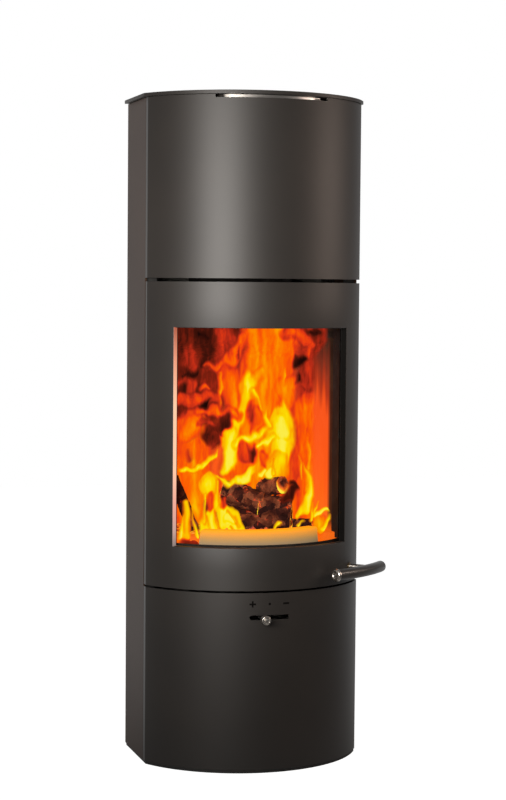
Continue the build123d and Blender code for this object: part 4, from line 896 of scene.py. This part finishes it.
corner = np.linspace(0, math.pi / 2, 5)
corner_step = ROUNDING * (1 - np.sin(corner))
corner_depth = ROUNDING * (1 - np.cos(corner))
wall_step = np.concatenate([corner_step, [0.0, 0.0]])
wall_depth = np.concatenate([corner_depth, [REVEAL / 2, REVEAL]])
left_wall = WINDOW_LEFT - wall_step / RADIUS
right_wall = WINDOW_RIGHT + wall_step[::-1] / RADIUS
angles = np.concatenate([
    np.linspace(-ARC_END, left_wall[0] - 0.008, LEFT_COLUMNS), left_wall,
    np.linspace(WINDOW_LEFT, WINDOW_RIGHT, 78)[1:-1],
    right_wall, np.linspace(right_wall[-1] + 0.008, ARC_END, RIGHT_COLUMNS),
])
depth_across = np.concatenate([
    np.zeros(LEFT_COLUMNS), wall_depth, np.full(76, REVEAL), wall_depth[::-1], np.zeros(RIGHT_COLUMNS),
])
heights = np.concatenate([
    [DOOR_BOTTOM, 0.45], WINDOW_BOTTOM - wall_step, np.linspace(WINDOW_BOTTOM, WINDOW_TOP, 6)[1:-1],
    WINDOW_TOP + wall_step[::-1], [1.04, DOOR_TOP],
])
depth_up = np.concatenate([[0, 0], wall_depth, np.full(4, REVEAL), wall_depth[::-1], [0, 0]])
depth = np.minimum(depth_across[:, None], depth_up)
points = raised(front_plan(angles, RADIUS, DOOR_RETURN), heights)
points[EDGE_COLUMNS:-EDGE_COLUMNS, :, :2] = round_axis(RADIUS - depth, angles[:, None])
deep_across = depth_across > REVEAL - 1e-9
deep_up = depth_up > REVEAL - 1e-9
window = whole_cells(deep_across[:, None] & deep_up)
wall_start = EDGE_COLUMNS + LEFT_COLUMNS
wall_end = len(points) - EDGE_COLUMNS - RIGHT_COLUMNS
painted_firelight_wall = np.zeros(points.shape[:2])
painted_firelight_wall[wall_start + 1:wall_start + 7] = depth_up > 0
painted_shade_wall = np.zeros(points.shape[:2])
painted_shade_wall[wall_end - 7:wall_end - 3] = depth_up > 0

# Door paint: the casing's. On the reveal's left wall firelight is painted on as a glow, peach in
# the middle and redder to the ends, and on the right wall painted shade makes it dull black.
door_paint = satin_paint("door_paint", "1c1917", "211d1a", 0.49, 1.4)
tree = door_paint.node_tree
# Painted shade: a dull black coat laid over the reveal's right wall.
painted_shade_coat = add(
    tree, "BsdfPrincipled",
    {"Base Color": linear("0b0a09"), "Roughness": 0.9, "Specular IOR Level": 0.05}, name="painted_shade_node",
)
painted_shade = add(tree, "Attribute", attribute_name="painted_shade")
coat = add(
    tree, "MixShader",
    links={0: painted_shade.outputs["Fac"], 1: tree.nodes["Principled BSDF"], 2: painted_shade_coat},
)
# Painted firelight on the reveal's left wall, shown to the eye alone.
axes = add(tree, "SeparateXYZ", links={0: add(tree, "TexCoord").outputs["Object"]})
height = add(tree, "MapRange", {1: WINDOW_BOTTOM, 2: WINDOW_TOP}, {0: axes.outputs[2]})
glow_and_painted_firelight = add(
    tree, "ValToRGB", links={0: height},
    stops=[(0.0, "8a7c78"), (0.07, "c8a098"), (0.2, "f0a896"), (0.35, "ffc8a8"), (0.65, "ffcaa4"),
           (0.85, "ee9c7c"), (1.0, "b05c44")],
)
firelit = add(tree, "Attribute", attribute_name="firelit")
ray = add(tree, "LightPath")
amount = add(
    tree, "Math", links={0: firelit.outputs["Fac"], 1: ray.outputs["Is Camera Ray"]},
    operation="MULTIPLY",
)
finish_with_glow_and_painted_light(door_paint, coat, glow_and_painted_firelight, amount)
piece(
    "door_skin", points, door_paint, "fire_door", ["door_frame"],
    keep=all_but(points, window), thickness=0.004, edge=0.0004,
    values={"firelit": painted_firelight_wall, "painted_shade": painted_shade_wall},
)

# Pane
# Curved 4 mm ceramic glass, clamped to the inner frame with a black tape between them, so that
# it can grow when it is hot.
PANE_OUTER = 0.2685
PANE_LEFT = math.radians(-48.25)
PANE_RIGHT = math.radians(45.55)
PANE_BOTTOM = 0.490
PANE_TOP = 0.993

# Ceramic glass: almost clear, faintly smoky, with a weak reflection that grows at a slant.
pane_glass, tree = blank("pane_glass")
clear = add(tree, "BsdfTransparent", {"Color": (0.985, 0.98, 0.97, 1.0)})
mirror = add(tree, "BsdfGlossy", {"Color": (1, 1, 1, 1), "Roughness": 0.03})
facing = add(tree, "LayerWeight", {"Blend": 0.5})
share = add(tree, "MapRange", {1: 0.55, 2: 1.0, 3: 0.0, 4: 0.5}, {0: facing.outputs["Facing"]})
both = add(tree, "MixShader", links={0: share, 1: clear, 2: mirror})
add(tree, "OutputMaterial", links={0: both})
plan = round_axis(PANE_OUTER, np.linspace(PANE_LEFT, PANE_RIGHT, 61))
piece(
    "pane", raised(plan, [PANE_BOTTOM, 0.74, PANE_TOP]), pane_glass, "fire_door", ["door_glass"],
    thickness=0.004,
)

# Glass-fibre tape round the pane: black, dull yarn.
seal_tape = clouded_finish(
    "black_seal_tape", 400, [(0.3, "0e0d0c"), (0.7, "1c1a19")],
    {"Roughness": 0.95, "Specular IOR Level": 0.05}, detail=3,
)
dress(["glass_seal"], seal_tape)

# Rope seal
# Braided glass-fibre rope, 9.5 mm thick, pressed into the back of the door's inner frame in
# one closed loop.
ROPE_RADIUS = 0.00475
ROPE_DEPTH = 0.2620
ROPE_EDGE = math.radians(56.5) - ROPE_RADIUS / 0.267
ROPE_BOTTOM = 0.4117 + ROPE_RADIUS
ROPE_TOP = 1.0781 - ROPE_RADIUS
ROPE_BEND = 0.012
BRAID_PITCH = 0.012

half_arc = ROPE_EDGE * ROPE_DEPTH
loop = rounded_section(-half_arc, half_arc, ROPE_BOTTOM, ROPE_TOP, ROPE_BEND, 8)
loop = np.concatenate([loop, loop[:1]])
lengths = np.concatenate([[0], np.cumsum(np.hypot(*np.diff(loop, axis=0).T))])
steps = np.linspace(0, lengths[-1], 900, endpoint=False)
run = np.stack([np.interp(steps, lengths, loop[:, k]) for k in (0, 1)], axis=1)
ahead = np.roll(run, -1, axis=0) - np.roll(run, 1, axis=0)
ahead /= np.linalg.norm(ahead, axis=1, keepdims=True)
around = np.linspace(0, 2 * math.pi, 20, endpoint=False)
twist = 2 * math.pi * np.round(lengths[-1] / BRAID_PITCH) * steps[:, None] / lengths[-1]
braid = 1 + 0.05 * np.sin(4 * around + twist) * np.sin(4 * around - twist)
radial = ROPE_DEPTH + ROPE_RADIUS * braid * np.cos(around) - 0.0002
sideways = -ROPE_RADIUS * braid * np.sin(around)
place_x = run[:, None, 0] + sideways * -ahead[:, None, 1]
place_z = run[:, None, 1] + sideways * ahead[:, None, 0]
points = round_axis(radial, place_x / ROPE_DEPTH, place_z)

# Glass-fibre rope: off-white yarn, greyed by soot.
seal_rope = clouded_finish(
    "seal_rope", 260, [(0.3, "6f6b64"), (0.7, "a5a097")],
    {"Roughness": 0.95, "Specular IOR Level": 0.1}, detail=4,
    relief=(260, 4, 0.5, 0.0005),
)
piece("rope_loop", points, seal_rope, "fire_door", ["door_rope"], wrap=(True, True))

# Handle
# A bent steel tube painted like the casing, closed by a turned cap, welded to a polished
# shaft that turns in a brass bush in the door and carries the latch tongue.
BAR_START = np.array([0.155057, -0.270791, 0.4335])
BAR_HEADING = math.radians(24)
BAR_BEND = 0.385
BAR_SWEEP = math.radians(28)
BAR_RADIUS = 0.013
END_ROUNDING = 0.005

# Handle paint: the casing's tone made a little lighter, as painted light, and rubbed smoother by hands.
handle_paint = satin_paint("handle_paint", "23201d", "2a2623", 0.36, 1.45)

quarter = np.linspace(0, math.pi / 2, 7)
full = BAR_BEND * BAR_SWEEP
along = np.concatenate([[0.0], np.linspace(0, full - END_ROUNDING, 60), full - END_ROUNDING
                        + END_ROUNDING * np.sin(quarter)[1:], [full]])
radii = np.concatenate([[0.0], np.full(60, BAR_RADIUS), BAR_RADIUS - END_ROUNDING
                        + END_ROUNDING * np.cos(quarter)[1:], [0.0]])
heading = BAR_HEADING + along / BAR_BEND
across = round_axis(1.0, heading, 0.0)
bend_centre = BAR_START - BAR_BEND * across[0]
centre = bend_centre + BAR_BEND * across
around = np.linspace(0, 2 * math.pi, 40, endpoint=False)[None, :, None]
points = centre[:, None] + radii[:, None, None] * (
    np.cos(around) * across[:, None] + np.sin(around) * np.array([0, 0, 1.0])
)
piece(
    "handle_bent_bar", points, handle_paint, "handle", ["handle_bar"],
    wrap=(False, True),
)

# Polished steel: bright turned metal, a little cloudy from handling.
polished_steel = clouded_finish(
    "polished_steel", 300, [(0.3, "b4aea6"), (0.7, "c4beb6")], {"Metallic": 1.0}, shine=(0.22, 0.34)
)
cap_profile = [
    (0.0000, 0.0), (0.0000, 0.0147), (0.0040, 0.0147), (0.0050, 0.0142), (0.0060, 0.0130),
    (0.0067, 0.0114), (0.0070, 0.0096), (0.0068, 0.0082), (0.0061, 0.0070), (0.0052, 0.0062),
    (0.0046, 0.0050), (0.0044, 0.0036), (0.0048, 0.0022), (0.0054, 0.0010), (0.0056, 0.0),
]
back_along = (-math.cos(BAR_HEADING), -math.sin(BAR_HEADING), 0)
piece(
    "turned_end_cap", turned(cap_profile[::-1], BAR_START, back_along), polished_steel, "handle",
    ["handle_end_cap"], wrap=(True, False),
)

SHAFT_ANGLE = math.radians(49)
SHAFT_START = 0.2705
SHAFT_LEVEL = 0.4405
SHAFT_RADIUS = 0.0055

outward = round_axis(1.0, SHAFT_ANGLE, 0.0)
centre_along = float(bend_centre[:2] @ outward[:2])
centre_across = float(bend_centre[0] * math.cos(SHAFT_ANGLE) + bend_centre[1] * math.sin(SHAFT_ANGLE))
shaft_length = centre_along + math.sqrt(BAR_BEND ** 2 - centre_across ** 2) - SHAFT_START
shaft_profile = [
    (0, 0), (0, SHAFT_RADIUS - 0.0005), (0.0005, SHAFT_RADIUS), (shaft_length, SHAFT_RADIUS),
    (shaft_length, 0),
]
points = turned(shaft_profile[::-1], round_axis(SHAFT_START, SHAFT_ANGLE, SHAFT_LEVEL), outward, 40)
piece(
    "polished_shaft", points, polished_steel, "handle", ["handle_shaft"],
    wrap=(True, False),
)

# Brass bush: dull yellow metal, darkened by heat.
bush_brass = clouded_finish(
    "bush_brass", 200, [(0.3, "4a3c22"), (0.7, "6b5730")], {"Metallic": 1.0, "Roughness": 0.45},
    detail=3,
)
dress(["handle_bush"], bush_brass)

# Air control knob
# A turned and polished steel button with a groove in its face, on a thin stem at the end of
# the air lever.
KNOB_ANGLE = math.radians(-4.3)
STEM_START = 0.300

knob_profile = [
    (0.0000, 0.0), (0.0000, 0.0025), (0.0060, 0.0025), (0.0060, 0.0090), (0.0066, 0.0098),
    (0.0075, 0.0100), (0.0240, 0.0100), (0.0246, 0.0097), (0.0250, 0.0090), (0.0250, 0.0068),
    (0.0248, 0.0065), (0.0239, 0.0062), (0.0238, 0.0047), (0.0248, 0.0044), (0.0250, 0.0040),
    (0.0250, 0.0),
]
outward = round_axis(1.0, KNOB_ANGLE, 0.0)
points = turned(knob_profile[::-1], round_axis(STEM_START, KNOB_ANGLE, SLOT_LEVEL), outward, 48)
piece(
    "turned_knob", points, polished_steel, "air_control", ["air_knob"],
    wrap=(True, False),
)

# Floor, lights and surroundings
# A plain pale floor that only shows the stove's own shadow, one large soft lamp at the front
# left, a weak one at the right, and a warm one inside the firebox for the fire's own light.
scene = bpy.context.scene
scene.view_settings.view_transform = "Standard"


def seen_white(tree, along, start, end):
    """How white the studio looks to a ray: 1 to the camera and through glass, and in reflections
    from 0 to 1, as a number along the depth runs from start to end."""
    ray = add(tree, "LightPath")
    direct = add(
        tree, "Math",
        links={0: ray.outputs["Is Camera Ray"], 1: ray.outputs["Is Transmission Ray"]},
        operation="MAXIMUM",
    )
    depth = add(tree, "MapRange", {1: start, 2: end}, {0: along})
    mirrored = add(tree, "Math", links={0: ray.outputs["Is Glossy Ray"], 1: depth}, operation="MULTIPLY")
    return add(tree, "Math", links={0: direct, 1: mirrored}, operation="MAXIMUM")


floor_surface, tree, place = patterned("studio_floor")
axes = add(tree, "SeparateXYZ", links={0: place})
seen = seen_white(tree, axes.outputs[1], -0.6, 1.5)
amount = add(tree, "Math", {1: 0.93}, {0: seen}, operation="MULTIPLY")
white = add(tree, "Emission", {"Color": (1, 1, 1, 1)}, {"Strength": amount})
matt = add(tree, "BsdfDiffuse", {"Color": (0.38, 0.38, 0.38, 1)})
both = add(tree, "AddShader", links={0: white, 1: matt})
add(tree, "OutputMaterial", links={0: both})
floor_mesh = bpy.data.meshes.new("studio_floor")
floor_mesh.from_pydata([(-6, -6, 0), (6, -6, 0), (6, 6, 0), (-6, 6, 0)], [], [(0, 1, 2, 3)])
floor_mesh.materials.append(floor_surface)
floor = bpy.data.objects.new("studio_floor", floor_mesh)
scene.collection.objects.link(floor)

world = bpy.data.worlds.new("studio")
world.use_nodes = True
world.node_tree.nodes.clear()
tree = world.node_tree
axes = add(tree, "SeparateXYZ", links={0: add(tree, "TexCoord").outputs["Generated"]})
seen = seen_white(tree, axes.outputs[1], 0.3, 0.95)
strength = add(tree, "MapRange", {3: 0.2, 4: 1.0}, {0: seen})
sky = add(tree, "Background", {"Color": (1, 1, 1, 1)}, {"Strength": strength})
add(tree, "OutputWorld", links={0: sky})
scene.world = world


def lamp(name, place, aim, size, power, code, spread=180):
    """A rectangular soft lamp at a place, aimed at another, with its size, power, colour and spread."""
    data = bpy.data.lights.new(name, "AREA")
    data.shape = "RECTANGLE"
    data.size, data.size_y = size
    data.energy = power
    data.spread = math.radians(spread)
    data.color = linear(code)[:3]
    made = bpy.data.objects.new(name, data)
    place, aim = np.array(place, float), np.array(aim, float)
    back = (place - aim) / np.linalg.norm(place - aim)
    side = np.cross((0.0, 0.0, 1.0) if abs(back[2]) < 0.99 else (0.0, 1.0, 0.0), back)
    side /= np.linalg.norm(side)
    turn = np.stack([side, np.cross(back, side), back], axis=1)
    made.matrix_world = Matrix([[*turn[k], place[k]] for k in range(3)] + [[0, 0, 0, 1]])
    scene.collection.objects.link(made)


lamp("soft_key", (-1.52, -2.43, 1.17), (0, -0.05, 1.14), (1.60, 0.72), 21, "fffaf4", 60)
lamp("soft_right", (2.42, -0.90, 1.46), (0, 0, 0.92), (1.3, 0.46), 5.0, "ffe6d6", 80)
lamp("fire_light", (0.0, -0.150, 0.72), (0.0, -0.30, 0.66), (0.26, 0.30), 0.6, "ff9a50")

# Camera
# It stands 4.4 m in front of the stove and 1.3 m to its left, a little below the top of the
# fire door, and looks slightly down.
CAMERA_PLACE = (-1.28284, -4.40976, 1.06908)
CAMERA_TURN = (16.665, 3.216, 0.469)

camera_data = bpy.data.cameras.new("camera")
camera_data.lens = 88.9
camera_data.sensor_width = 36
camera = bpy.data.objects.new("camera", camera_data)
yaw, pitch, roll = map(math.radians, CAMERA_TURN)
ahead = np.array([math.sin(yaw) * math.cos(pitch), math.cos(yaw) * math.cos(pitch), -math.sin(pitch)])
right = np.array([math.cos(yaw), -math.sin(yaw), 0])
up = np.cross(right, ahead)
level_right = math.cos(roll) * right + math.sin(roll) * up
level_up = -math.sin(roll) * right + math.cos(roll) * up
camera.matrix_world = Matrix(
    [[level_right[k], level_up[k], -ahead[k], CAMERA_PLACE[k]] for k in range(3)] + [[0, 0, 0, 1]]
)
scene.collection.objects.link(camera)
scene.camera = camera
scene.cycles.transparent_max_bounces = 24
